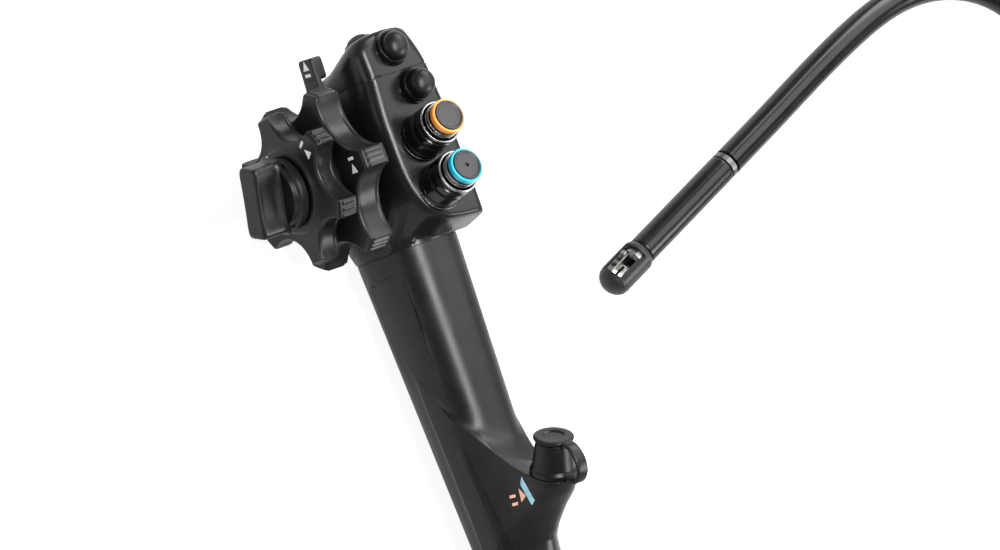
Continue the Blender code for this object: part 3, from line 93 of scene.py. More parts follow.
# Camera: a long lens, turned until the wheels, the valves and the port show as in the photograph.
PIXELS_PER_MM, IMAGE_WIDTH, AIM_RIGHT, AIM_DOWN = 2.69, 1000.0, 95.5, 25.0
VIEW_DISTANCE, SENSOR_WIDTH = 3000.0, 36.0
IMAGE_TILT = math.radians(20.0)
across = np.array((0.8, 0.0, 0.6))
along = np.array((0.0, 1.0, 0.0))
image_right = turn[:3, :3] @ (across * math.cos(IMAGE_TILT) - along * math.sin(IMAGE_TILT))
image_up = turn[:3, :3] @ (across * math.sin(IMAGE_TILT) + along * math.cos(IMAGE_TILT))
image_back = np.cross(image_right, image_up)
aim = CONTROL[:3, 3] + image_right * (AIM_RIGHT / PIXELS_PER_MM) - image_up * (AIM_DOWN / PIXELS_PER_MM)
camera = placed("camera", bpy.data.cameras.new("camera"))
bpy.context.scene.camera = camera
pose = np.eye(4)
pose[:3, 0], pose[:3, 1], pose[:3, 2] = image_right, image_up, image_back
pose[:3, 3] = (aim + image_back * VIEW_DISTANCE) * MM
camera.matrix_world = Matrix(pose.tolist())
camera.data.sensor_width = SENSOR_WIDTH
camera.data.lens = SENSOR_WIDTH * VIEW_DISTANCE / (IMAGE_WIDTH / PIXELS_PER_MM)
camera.data.clip_start = 0.1
camera.data.clip_end = 20.0


class Field:
    """A value or colour in a material's nodes, with arithmetic written as plain operators."""

    def __init__(self, tree, socket=None):
        self.tree = tree
        self.socket = socket

    def node(self, kind, inputs=None, output=0, **settings):
        new = self.tree.nodes.new(kind)
        for key, value in settings.items():
            setattr(new, key, value)
        for key, value in (inputs or {}).items():
            if isinstance(value, Field):
                self.tree.links.new(value.socket, new.inputs[key])
            else:
                new.inputs[key].default_value = value
        return Field(self.tree, new.outputs[output])

    def maths(self, operation, *values, **settings):
        return self.node("ShaderNodeMath", dict(enumerate(values)), operation=operation, **settings)

    def __add__(self, other):
        return self.maths("ADD", self, other)

    def __sub__(self, other):
        return self.maths("SUBTRACT", self, other)

    def __rsub__(self, other):
        return self.maths("SUBTRACT", other, self)

    def __mul__(self, other):
        return self.maths("MULTIPLY", self, other)

    __radd__, __rmul__ = __add__, __mul__

    def step(self, low, high, start=0.0, end=1.0):
        """Rises smoothly from start to end while this value goes from low to high."""
        names = {"Value": self, "From Min": low, "From Max": high, "To Min": start, "To Max": end}
        return self.node("ShaderNodeMapRange", names, interpolation_type="SMOOTHSTEP")

    def mix(self, one, other):
        """The first colour where this value is 0 and the second where it is 1."""
        names = {0: self, 6: one, 7: other}
        return self.node("ShaderNodeMix", names, output=2, data_type="RGBA")


GRAIN_DEPTH = 0.06 * MM


def finish(
    name, colour, roughness, metallic=0.0, coat=0.0, coat_roughness=0.1, specular=0.5,
    grain=0.0, grain_mm=0.4, smudge=0.06,
):
    """A procedural finish: patches a centimetre or two wide vary the colour slightly and, with a finer
    noise, the roughness, as handling does; grain is how strongly small cells raise the surface."""
    result = bpy.data.materials.new(name)
    result.use_nodes = True
    result.diffuse_color = (*colour, 1.0)
    tree = result.node_tree
    shader = tree.nodes["Principled BSDF"].inputs
    shader["Metallic"].default_value = metallic
    shader["Coat Weight"].default_value = coat
    shader["Coat Roughness"].default_value = coat_roughness
    shader["Specular IOR Level"].default_value = specular
    place = Field(tree).node("ShaderNodeTexCoord", output=3)
    noise = {"Vector": place, "Scale": 55.0, "Detail": 4.0, "Roughness": 0.6}
    broad = place.node("ShaderNodeTexNoise", noise)
    fine = place.node("ShaderNodeTexNoise", {"Vector": place, "Scale": 900.0, "Detail": 2.0})
    rough = broad.step(0.3, 0.75, roughness - smudge / 2, roughness + smudge / 2)
    rough = rough + (fine - 0.5) * (smudge * 0.5)
    tree.links.new(rough.socket, shader["Roughness"])
    light = tuple(min(1.0, c * 1.18) for c in colour)
    dark = tuple(c * 0.86 for c in colour)
    tone = broad.step(0.35, 0.7).mix((*dark, 1.0), (*light, 1.0))
    tree.links.new(tone.socket, shader["Base Color"])
    if grain:
        cells = {"Vector": place, "Scale": 1.0 / (grain_mm * MM)}
        cells = place.node("ShaderNodeTexVoronoi", cells, feature="SMOOTH_F1")
        bump = {"Height": cells, "Strength": grain, "Distance": GRAIN_DEPTH}
        tree.links.new(cells.node("ShaderNodeBump", bump).socket, shader["Normal"])
    return result


def black(name, tone, roughness, specular, **rest):
    """A black finish, a trace bluer than grey."""
    return finish(name, (tone, tone, tone + 0.0005), roughness, specular=specular, **rest)


SATIN = black("satin_black", 0.0075, 0.27, 0.24, grain=0.2, grain_mm=0.35, smudge=0.08)
GRIP_SATIN = black("grip_black", 0.009, 0.33, 0.24, grain=0.3, grain_mm=0.3, smudge=0.08)
WHEEL_BLACK = black("wheel_black", 0.009, 0.33, 0.24, grain=0.25, grain_mm=0.3, smudge=0.08)
GLOSS = black("gloss_black", 0.005, 0.18, 0.25, coat=0.1)
MATT = black("matt_black", 0.012, 0.5, 0.22, grain=0.4, grain_mm=0.25)
RUBBER = black("soft_rubber", 0.006, 0.36, 0.22, grain=0.12, grain_mm=0.5)
SKIN = black("tube_skin", 0.005, 0.22, 0.25, coat=0.1, coat_roughness=0.15, smudge=0.08)
WET_RUBBER = black("bending_skin", 0.004, 0.26, 0.25, coat=0.12, coat_roughness=0.18, smudge=0.05)
STEEL = finish("steel", (0.62, 0.61, 0.6), 0.2, metallic=1.0, smudge=0.1)
GREY_STEEL = finish("grey_steel", (0.32, 0.315, 0.31), 0.3, metallic=1.0, smudge=0.1)
DARK_STEEL = finish("dark_steel", (0.13, 0.128, 0.125), 0.32, metallic=1.0, smudge=0.12)
BRASS = finish("brass", (0.62, 0.46, 0.22), 0.3, metallic=1.0)
ORANGE = finish("orange_ring", (0.88, 0.30, 0.045), 0.3, coat=0.2, smudge=0.05)
CYAN = finish("cyan_ring", (0.012, 0.42, 0.64), 0.3, coat=0.2, smudge=0.05)
FACE = finish("button_face", (0.028, 0.028, 0.03), 0.42, grain=0.3, grain_mm=0.2, specular=0.3)
GREY = finish("distal_grey", (0.02, 0.02, 0.022), 0.38, grain=0.2, grain_mm=0.2, specular=0.25)
LENS = finish("lens", (0.004, 0.005, 0.009), 0.04, coat=1.0, coat_roughness=0.02, smudge=0.01)
WHITE = finish("white_print", (0.95, 0.95, 0.94), 0.4, smudge=0.05)
BLUE_PRINT = finish("blue_print", (0.32, 0.62, 0.74), 0.4, smudge=0.05)
PEACH_PRINT = finish("peach_print", (0.85, 0.46, 0.34), 0.4, smudge=0.05)


def to_world(points, place):
    """Points in a frame, in millimetres, to world metres."""
    points = np.asarray(points, float)
    return (points @ place[:3, :3].T + place[:3, 3]) * MM


def skin(
    name, grid, place, material, replaces=(), wrap=True, ends=(False, False),
    body="control_section", slot="moulded_satin", angle=38.0, blend=None,
):
    """A surface over a grid of points, rows by columns: neighbours are joined by quads, columns close
    into rings where wrap is set, and a fan of triangles closes the first and last row where asked.
    It is smooth shaded, has its finish, and rides on its body; where a blend is given it is only fixed where
    it stands, and the blend's bodies and points are not used."""
    grid = to_world(grid, place)
    rows, columns = grid.shape[:2]
    points = grid.reshape(-1, 3)
    i, j = np.meshgrid(np.arange(rows - 1), np.arange(columns if wrap else columns - 1), indexing="ij")
    n = (j + 1) % columns
    this, following = i * columns, (i + 1) * columns
    faces = np.stack([this + j, this + n, following + n, following + j], axis=-1).reshape(-1, 4).tolist()
    for row, wanted in zip((0, rows - 1), ends):
        if wanted:
            middle = len(points)
            points = np.concatenate([points, grid[row].mean(axis=0, keepdims=True)])
            faces += [(middle, row * columns + k, row * columns + (k + 1) % columns) for k in range(columns)]
    mesh = bpy.data.meshes.new(name)
    mesh.from_pydata(points.tolist(), [], faces)
    bm = bmesh.new()
    bm.from_mesh(mesh)
    bmesh.ops.remove_doubles(bm, verts=bm.verts, dist=1e-7)
    bmesh.ops.recalc_face_normals(bm, faces=bm.faces)
    bm.to_mesh(mesh)
    bm.free()
    mesh.shade_smooth()
    mesh.set_sharp_from_angle(angle=math.radians(angle))
    mesh.materials.append(material)
    piece = placed(name, mesh)
    if replaces:
        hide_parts(*replaces)
    if blend:
        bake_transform(piece)
    else:
        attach(piece, body)
    return piece


def full_turn(steps):
    """Evenly spaced angles over a full turn, without its end."""
    return np.linspace(0, math.tau, steps, endpoint=False)


def joined(*columns):
    """Points from their coordinates; a single number counts for all of them."""
    return np.stack(np.broadcast_arrays(*columns), axis=-1)


def turned(radii, heights, steps):
    """Rings about z with the given radii and heights."""
    t = full_turn(steps)
    return joined(np.outer(radii, np.cos(t)), np.outer(radii, np.sin(t)), heights[:, None])


def lathe(name, profile, place, material, replaces=(), steps=72, fillet=0.0, **rest):
    """A turned surface about z. The profile is (radius, height) pairs; each corner is rounded by a
    short arc-like cut whose length is the fillet."""
    outline = rounded(profile, fillet) if fillet else np.array(profile, float)
    return skin(name, turned(outline[:, 0], outline[:, 1], steps), place, material, replaces, **rest)


def rounded(profile, fillet, steps=4):
    """The open profile with each inner corner replaced by a quadratic curve that starts and ends one
    fillet's length, or less on a short side, from the corner."""
    p = np.array(profile, float)
    out = [p[0]]
    for a, b, c in zip(p, p[1:], p[2:]):
        back = min(fillet, 0.45 * np.linalg.norm(a - b))
        ahead = min(fillet, 0.45 * np.linalg.norm(c - b))
        start = b + (a - b) / np.linalg.norm(a - b) * back
        end = b + (c - b) / np.linalg.norm(c - b) * ahead
        for t in np.linspace(0, 1, steps + 1):
            out.append((1 - t) ** 2 * start + 2 * t * (1 - t) * b + t**2 * end)
    out.append(p[-1])
    return np.array(out)


def smooth_path(points, count):
    """Evenly spaced points on a Catmull-Rom curve through the given ones."""
    points = np.asarray(points, dtype=float)
    ends = 2 * points[[0, -1]] - points[[1, -2]]
    p = np.concatenate([ends[:1], points, ends[1:]])
    t = np.linspace(0.0, 1.0, 24, endpoint=False)[:, None]
    pieces = []
    for a, b, c, d in zip(p, p[1:], p[2:], p[3:]):
        curved = (2 * a - 5 * b + 4 * c - d) * t**2 + (3 * b - a - 3 * c + d) * t**3
        pieces.append(0.5 * (2 * b + (c - a) * t + curved))
    fine = np.concatenate(pieces + [points[-1:]])
    gone = np.concatenate([[0.0], np.cumsum(np.linalg.norm(np.diff(fine, axis=0), axis=1))])
    even = np.linspace(0.0, gone[-1], count)
    return np.stack([np.interp(even, gone, fine[:, i]) for i in range(3)], axis=1)


def softened(path, reach):
    """A path whose points are averaged twice over their neighbours, so that no joint of two curves shows;
    it is mirrored through its ends first, which keeps both end points and their directions."""
    for _ in range(2):
        before = 2 * path[0] - path[reach:0:-1]
        after = 2 * path[-1] - path[-2:-reach - 2:-1]
        total = np.cumsum(np.concatenate([np.zeros((1, 3)), before, path, after]), axis=0)
        path = (total[2 * reach + 1:] - total[:-2 * reach - 1]) / (2 * reach + 1)
    return path


def smooth_step(t):
    """0 up to 0, 1 from 1 on, and a smooth rise between."""
    t = np.clip(t, 0, 1)
    return t * t * (3 - 2 * t)


def unit(rows):
    """The rows, each divided by its length."""
    return rows / np.linalg.norm(rows, axis=1)[:, None]


def tube_grid(path, radius, around):
    """Rings round a path: a frame carried along it without twist places each ring at a right angle."""
    way = unit(np.gradient(path, axis=0))
    side = np.cross(way[0], (0.0, 0.0, 1.0))
    t = full_turn(around)
    rings = []
    for centre, forward in zip(path, way):
        side = side - forward * (side @ forward)
        side /= np.linalg.norm(side)
        up = np.cross(forward, side)
        rings.append(centre + radius * (np.outer(np.cos(t), side) + np.outer(np.sin(t), up)))
    return np.array(rings)


# Insertion tube: a coated flexible tube that leaves the boot, lies in one and a quarter turns beside
# the grip and runs back to the bending section. It is bare, without rings or marks.
TUBE_RADIUS = 5.65
COIL_RADIUS = 67.8
COIL_CENTRE = (107.4, -246.6)
TUBE_LEAD = [(0, -214.6, 0), (0.5, -236, -0.3), (7, -257, -0.9), (25, -278, -1.4), (51.2, -302.8, -1.5)]
TUBE_RUN = [
    (171.4, -293.7), (210, -262), (240, -214), (262, -160), (286, -104), (307, -58), (317, -18),
    (300, 17), (262, 29), (220, 17), (186, 2.5), (167, -5.2), (155.2, -10.1),
]
lead = np.array(TUBE_LEAD) + (0, 0, CONTROL[2, 3])
run = np.array([(x, y, TUBE_RADIUS) for x, y in TUBE_RUN])
run[-1][2], run[-2][2] = 6.55, 6.35
to_start, to_end = lead[-1][:2] - COIL_CENTRE, run[0][:2] - COIL_CENTRE
turn_start = math.atan2(to_start[1], to_start[0])
turn_end = math.atan2(to_end[1], to_end[0]) + math.tau
sweep = np.linspace(turn_start, turn_end, 46)[1:-1]
share = (sweep - turn_start) / (turn_end - turn_start)
coil_radius = COIL_RADIUS + (np.hypot(*to_start) - COIL_RADIUS) * np.clip(1 - share * 8, 0, 1) ** 2
coil_radius += (np.hypot(*to_end) - COIL_RADIUS) * np.clip(1 - (1 - share) * 8, 0, 1) ** 2
coil_height = lead[-1][2] + (TUBE_RADIUS - lead[-1][2]) * smooth_step((share - 0.1) / 0.75)
coil_x = COIL_CENTRE[0] + coil_radius * np.cos(sweep)
coil_y = COIL_CENTRE[1] + coil_radius * np.sin(sweep)
coil_path = joined(coil_x, coil_y, coil_height)
route = np.concatenate([smooth_path(lead, 24), coil_path, smooth_path(run, 60)])
tube_path = softened(smooth_path(route + (CONTROL[0, 3], CONTROL[1, 3], 0.0), 900), 12)
tube = skin(
    "insertion_tube", tube_grid(tube_path, TUBE_RADIUS, 28), np.eye(4), SKIN,
    ("tube_lead", "tube_coil", "tube_run"), ends=(True, True), slot="tube_skin",
)

# Head of the control section: one hollow moulding, satin black. A block with crisp front edges stands on
# an oval neck; below the lower valve the block ends in a steep underside, whose edge sweeps from the
# wheels' side round the valve to the far corner of the overhang.
HEAD_FRONT, HEAD_FAR_SIDE, FRONT_START = 33.5, 18.3, 8.0
HEAD_SPLIT, HEAD_TOP, HEAD_TOP_SLOPE = 62.5, 81.0, 0.354
FRONT_POWER, WHEEL_SIDE_POWER, NECK_POWER, NECK_DEPTH, NECK_HEIGHT = 9.0, 6.8, 2.4, 19.3, 8.0
# Each row: height, reach to the wheels' side, to the far side and to the back, power of the rear corners
HEAD_TABLE = [
    (0.0, 16.9, 19.1, 19.3, 2.4),
    (0.7, 16.9, 19.1, 18.9, 2.8),
    (2.6, 16.9, 18.8, 18.2, 3.6),
    (4.8, 16.8, 18.3, 17.5, 4.6),
    (7.5, 16.4, 18.3, 17.0, 5.6),
    (18.0, 16.0, 18.3, 17.0, 5.6),
    (45.0, 16.0, 17.8, 16.5, 5.6),
    (62.5, 14.5, 16.3, 15.0, 5.6),
]
# Each row: x, height of the underside's edge
SWEEP = [(-18, 39), (-16, 32), (-14.5, 26.0), (-11.4, 16.9), (-6.8, 9.2), (2.0, 5.2), (16, 3.8), (20, 3.6)]


def smooth_table(rows, places):
    """Rows of a table, keyed by their first value, read at the places with cubic pieces whose slopes are
    the harmonic means of the neighbouring ones, so that no curve overshoots the rows."""
    rows = np.asarray(rows, float)
    x, y = rows[:, 0], rows[:, 1:]
    h = np.diff(x)[:, None]
    slope = np.diff(y, axis=0) / h
    m = np.zeros_like(y)
    same = slope[:-1] * slope[1:] > 0
    total = np.where(same, slope[:-1] + slope[1:], 1.0)
    m[1:-1] = np.where(same, 2 * slope[:-1] * slope[1:] / total, 0.0)
    m[0], m[-1] = slope[0], slope[-1]
    places = np.atleast_1d(np.asarray(places, float))
    i = np.clip(np.searchsorted(x, places) - 1, 0, len(x) - 2)
    t = ((places - x[i]) / h[i, 0])[:, None]
    a, b = y[i], y[i + 1]
    start = a * (1 + 2 * t) * (1 - t) ** 2 + h[i] * m[i] * t * (1 - t) ** 2
    return start + b * t**2 * (3 - 2 * t) + h[i] * m[i + 1] * t**2 * (t - 1)


def oval_size(x, y, power):
    """1 on an oval whose half axes are 1, and less inside; a high power squares its corners."""
    return (np.abs(x) ** power + np.abs(y) ** power) ** (1 / power)


def soft_min(a, b, soft):
    """The lesser of two fields, with a smooth change from one to the other."""
    low = np.minimum(a, b)
    return low - soft * np.log(np.exp(-(a - low) / soft) + np.exp(-(b - low) / soft))


def head_field(x, z, height):
    """Less than 0 inside the head: the block, cut by the swept underside, and the neck, softly joined."""
    wheel_side, far_side, back, power = smooth_table(HEAD_TABLE, height)[0]
    middle, half = (far_side - wheel_side) / 2, (far_side + wheel_side) / 2
    front = z > FRONT_START
    power = np.where(front, np.where(x < 1.0, WHEEL_SIDE_POWER, FRONT_POWER), power)
    depth = np.where(front, HEAD_FRONT - FRONT_START, FRONT_START + back)
    block = (oval_size((x - middle) / half, (z - FRONT_START) / depth, power) - 1) * wheel_side
    edge = smooth_table(SWEEP, np.clip(x, -18, 20))[:, 0]
    slant = (edge - smooth_table(SWEEP, np.clip(x + 0.5, -17.5, 20))[:, 0]) / 0.5
    beyond = (edge - height) / np.sqrt(1 + slant**2)
    steep = 3.3 + 1.4 * np.clip(x / 15, 0, 1)
    under = (z - HEAD_FRONT + steep * beyond) / np.sqrt(1 + steep**2)
    soft = 0.9 - 0.4 * np.clip((x + 8.0) / 14.0, 0, 1)
    block = -soft_min(-block, -under, soft) - soft * 0.1
    neck = (oval_size((x - middle) / half, z / NECK_DEPTH, NECK_POWER) - 1) * half
    return soft_min(block, neck + np.clip(height - NECK_HEIGHT, 0, None) * 0.9, 0.6)


def traced(field, height, angles, centre):
    """The closed outline of a field at a height: along every ray from the centre, the place where the
    field changes sign, found by halving."""
    sines, cosines = np.sin(angles), np.cos(angles)
    near, far = np.full(len(angles), 3.0), np.full(len(angles), 60.0)
    for _ in range(24):
        mid = (near + far) / 2
        inside = field(centre[0] + mid * sines, centre[1] + mid * cosines, height) < 0
        near, far = np.where(inside, mid, near), np.where(inside, far, mid)
    return near, joined(centre[0] + near * sines, height, centre[1] + near * cosines)


def shrunk(ring, amount, rise=0.0):
    """A ring drawn in by an amount towards its middle, and raised."""
    return ring - unit(ring - ring.mean(axis=0)) * amount + (0, rise, 0)


def turned_in(rings, first, last):
    """Rings with smaller ones before and after them, which turn the wall inwards at both edges."""
    before = [shrunk(rings[0], *step) for step in first]
    return np.array(before + rings + [shrunk(rings[-1], *step) for step in last])


HEAD_AXIS = (1.0, 6.0)
head_angles = full_turn(260)
head_levels = np.concatenate([np.linspace(0.2, 34, 110), np.linspace(34.8, 62.3, 46)])
head_rings = [traced(head_field, h, head_angles, HEAD_AXIS)[1] for h in head_levels]
low_edge = ((2.0, -0.05), (0.5, -0.05), (0.15, -0.03))
high_edge = ((0.15, 0.03), (0.5, 0.05), (2.0, 0.05))
skin("head_shell", turned_in(head_rings, low_edge, high_edge), CONTROL, SATIN, ("head_housing",))

# Cover of the head: a wedge with a crisp front rim and a well rounded one on the wheels' side, screwed on
# from inside; a fine gap parts it from the head, and a dark seal lies in the gap.
CAP_ROUND, CAP_FAR_LEAN, CAP_TOP_DROP = 8.0, 3.8, 0.5
RIM_INSET, LAST_INSET = 5.2, 13.5
# Each row: share of the cover's height, how far the rim is drawn in there
cap_table = [(0.0, 0.0), (0.45, 0.35), (0.8, 0.9), (0.93, 1.9), (0.985, 3.4), (1.0, RIM_INSET)]


def cap_level(z):
    """Height of the cover's sloping top at a depth."""
    return HEAD_TOP - CAP_TOP_DROP - HEAD_TOP_SLOPE * (HEAD_FRONT - z)


rises = 1.0 - np.linspace(1.0, 0.05, 24) ** 2
insets = smooth_table(cap_table, rises)[:, 0]
cap_foot = traced(head_field, HEAD_SPLIT, head_angles, HEAD_AXIS)[1]
cap_middle = cap_foot.mean(axis=0)
away = cap_foot - cap_middle
length = np.linalg.norm(away, axis=1)[:, None]
wheel_side = np.clip(-away[:, :1] / 14.0, 0, 1) ** 2
far_side = np.clip(away[:, :1] / 14.0, 0, 1) ** 2
tall = cap_level(cap_foot[:, 2:]) - HEAD_SPLIT
radius = np.minimum(CAP_ROUND, 0.95 * tall)
cap_rows = [(0.0, 2.0), (0.0, 0.5), (0.003, 0.15), (0.008, 0.03), *zip(rises[1:], insets[1:])]
cap_rows += [(1.0, inset) for inset in np.linspace(RIM_INSET, LAST_INSET, 9)]
cap_grid = []
for rise, inset in cap_rows:
    arc = radius - np.sqrt(radius**2 - np.clip(radius - (1 - rise) * tall, 0, radius) ** 2)
    fade = np.clip((LAST_INSET - inset) / (LAST_INSET - RIM_INSET), 0, 1)
    drawn = inset + (arc - inset) * wheel_side * fade
    drawn = drawn + CAP_FAR_LEAN * far_side * rise**1.3 * np.clip(1.8 - inset / 7, 0, 1)
    ring = cap_middle + away * (1 - np.minimum(drawn / length, 0.97))
    ring[:, 1] = HEAD_SPLIT + 0.2 + rise * (cap_level(ring[:, 2]) - HEAD_SPLIT - 0.2)
    cap_grid.append(ring)
skin("head_cover", np.array(cap_grid), CONTROL, SATIN, ("head_top_cap",), ends=(False, True))


def seal(name, ring):
    """A dark band inside the gap that lies over a ring."""
    rows = [shrunk(ring, 0.3, rise) for rise in (-0.3, 0.0, 0.3)]
    return skin(name, np.array(rows), CONTROL, MATT, slot="panel_matt")


seal("cover_seal", cap_foot + (0, 0.05, 0))

# Grip: a tapered oval handle with the branch of the instrument port growing out of its front as a
# flat-sided web, and a shallow field let into the wheels' side.
GRIP_WIDTH, GRIP_DEPTH, GRIP_TAPER, GRIP_SHIFT, GRIP_POWER, GRIP_END = 18.0, 19.3, 0.033, 1.1, 2.4, 13.8
PORT_LEAN = math.radians(31.0)
PORT_SEAT = np.array((4.0, -95.8, 34.5))
# Each row: depth, height of the web's crown
WEB_CROWN = [
    (-30, -30), (2, -52), (8, -63), (10, -66), (15, -73.5), (20, -81.2), (25, -87.4), (28, -90.6),
    (31, -93.2), (34.5, -95.8), (45, -102.1), (60, -111.1),
]
# Each row: height, depth of the web's front edge
WEB_OUT = [
    (-150, 15.6), (-134, 17.0), (-127, 17.6), (-119, 20.4), (-114.5, 24.8), (-109, 31.4), (-104.5, 38.0),
    (-100.5, 42.4), (-90, 42.4),
]
PANEL_TOP, PANEL_HALF, PANEL_TAPER, PANEL_CORNER, PANEL_FLUSH = -7.4, 12.8, 0.05, 5.0, 64.0


def panel_field(height, z):
    """How deep inside the side field a place lies, in millimetres, negative outside. The top is an arch."""
    arch = PANEL_TOP - height - 0.011 * (z - 7.0) ** 2
    side = PANEL_HALF - PANEL_TAPER * (PANEL_TOP - height) - np.abs(z)
    a, b = PANEL_CORNER - arch, PANEL_CORNER - side
    rounded_in = PANEL_CORNER - np.hypot(np.clip(a, 0, None), np.clip(b, 0, None))
    return np.where((a > 0) & (b > 0), rounded_in, np.minimum(arch, side))


def panel_share(height, z):
    """1 over the field's upper part, falling smoothly to 0 where it is flush, below and at the back."""
    return smooth_step((height + PANEL_FLUSH) / 34.0) * smooth_step((z + 12.0) / 9.0)


def panel_sink(height, z):
    """The field's depth: it is let in at the top and comes nearly flush half way down."""
    return 0.15 + 0.75 * panel_share(height, z)


def grip_size(height):
    """Half width, half depth and centre of the grip's oval at a height."""
    width = GRIP_WIDTH - GRIP_TAPER * abs(height)
    depth = width * GRIP_DEPTH / GRIP_WIDTH
    close = np.clip((height + 150.0) / 30.0, 0, 1)
    close = close * (2 - close)
    return GRIP_END + (width - GRIP_END) * close, GRIP_END + (depth - GRIP_END) * close, GRIP_SHIFT * close


def grip_field(x, z, height):
    """Less than 0 inside the grip or its web, which a small fillet joins. Web: front, crown, side walls."""
    width, depth, centre = grip_size(height)
    handle = (oval_size((x - centre) / width, z / depth, GRIP_POWER) - 1) * width
    t = np.clip((z - 10.0) / 20.0, 0, 1)
    half = 13.5 - 4.3 * t * (2 - t)
    middle = 4.0 * np.clip((z - 8.0) / 26.0, 0, 1)
    u = np.clip((x - middle) / half, -1.5, 1.5)
    out = np.interp(height, *np.array(WEB_OUT, float).T)
    drop = 10.7 + 5.0 * np.clip((-100.0 - height) / 20.0, 0, 1)
    nose = z - out + drop * (1 - np.sqrt(np.clip(1 - u * u, 0, None)))
    crown = smooth_table(WEB_CROWN, np.clip(z, -30, 60))[:, 0]
    crown = crown - 0.42 * np.clip(x + 8.0, 0, None) * np.clip((31.0 - z) / 9.0, 0, 1)
    lid = (height - crown) * math.cos(PORT_LEAN)
    wall = (np.abs(u) - 1) * half
    return soft_min(handle, np.maximum(np.maximum(nose, lid), np.maximum(wall, 2.0 - z)), 1.6)


upper_heights = [np.linspace(-0.15, -1.2, 5), np.linspace(-2, -60, 58)]
lower_heights = [np.linspace(-60.5, -106, 110), np.linspace(-106.8, -149.7, 54)]
grip_angles = np.radians(np.concatenate([np.linspace(-48, 48, 190), np.linspace(50, 310, 132)]))
sines, cosines = np.sin(grip_angles), np.cos(grip_angles)
grip_rings = []
for h in np.concatenate(upper_heights + lower_heights):
    near, ring = traced(grip_field, h, grip_angles, (GRIP_SHIFT, 0.0))
    deep = np.where(sines < 0, np.clip(panel_field(h, ring[:, 2]) / 0.5, 0, 1), 0.0)
    near = near - deep * (panel_sink(h, ring[:, 2]) + 0.45) * panel_share(h, ring[:, 2])
    grip_rings.append(joined(near * sines + GRIP_SHIFT, h, near * cosines))
high_edge = ((2.0, 0.1), (0.5, 0.1), (0.15, 0.05))
low_edge = ((0.15, -0.05), (0.5, -0.15), (2.0, -0.15))
skin("grip", turned_in(grip_rings, high_edge, low_edge), CONTROL, GRIP_SATIN, ("grip_shell",), angle=50)
seal("grip_seal", grip_rings[0])


def on_grip(heights, depths, raised):
    """Places on the wheels' side of the grip or its web, raised a little above the skin."""
    near, far = np.full(len(depths), 1.0), np.full(len(depths), 30.0)
    for _ in range(18):
        mid = (near + far) / 2
        inside = grip_field(-mid, depths, heights) < 0
        near, far = np.where(inside, mid, near), np.where(inside, far, mid)
    return joined(-near - raised, heights, depths)


# Side field of the grip: a thin moulded inlay that follows the grip's curve, rounded at its edges.
PANEL_GAP = 0.12
panel_rows = []
for h in np.linspace(PANEL_TOP - 0.15, -PANEL_FLUSH, 110):
    width, depth, centre = grip_size(h)
    trial = np.linspace(-13.5, 13.5, 271)
    inside = panel_field(h, trial)
    kept = np.flatnonzero(inside > PANEL_GAP)
    if len(kept) < 2:
        continue
    first, last = [kept[0] - 1, kept[0]], [kept[-1] + 1, kept[-1]]
    low_z, high_z = (np.interp(PANEL_GAP, inside[pair], trial[pair]) for pair in (first, last))
    z = np.linspace(low_z, high_z, 61)
    edge = np.clip(panel_field(h, z) / 0.8, 0, 1)
    sunk = panel_sink(h, z) + 0.4 * (1 - np.sqrt(edge * (2 - edge)))
    x = centre - width * (1 - np.abs(z / depth) ** GRIP_POWER) ** (1 / GRIP_POWER)
    normal = unit(joined(-1.0, np.gradient(x, z)))
    panel_rows.append(joined(x - normal[:, 0] * sunk, h, z - normal[:, 1] * sunk))
skin(
    "side_panel", np.array(panel_rows), CONTROL, GRIP_SATIN, ("grip_side_panel",), wrap=False,
    slot="panel_matt", angle=60,
)

# Angulation wheels: two moulded hand wheels on one axis, each with six lobes, a slim bead along both
# edges of every hollow, raised ribs on the lobes' tips and a raised hub.
LOBES, RIB_HEIGHT, WHEEL_EDGE = 6, 0.6, 1.1


def lobed_rim(angle, radius, depth, scoop, sharp=1.3):
    """The rim's radius at an angle from a lobe's middle, and how far the place is inside a hollow: a
    circle with round bites taken out, both joined by a small soft minimum."""
    reach = radius - depth + scoop
    step = math.tau / LOBES
    off = (angle % step) - step / 2
    under = np.clip(scoop**2 - (reach * np.sin(off)) ** 2, 0.0, None)
    bite = np.where(np.abs(reach * np.sin(off)) < scoop, reach * np.cos(off) - np.sqrt(under), 2 * radius)
    gap = np.clip(sharp * (bite - radius), -60, 60)
    rim = radius - np.log1p(np.exp(-gap)) / sharp
    return rim, np.clip((radius - rim - 0.6) / 0.8, 0, 1)


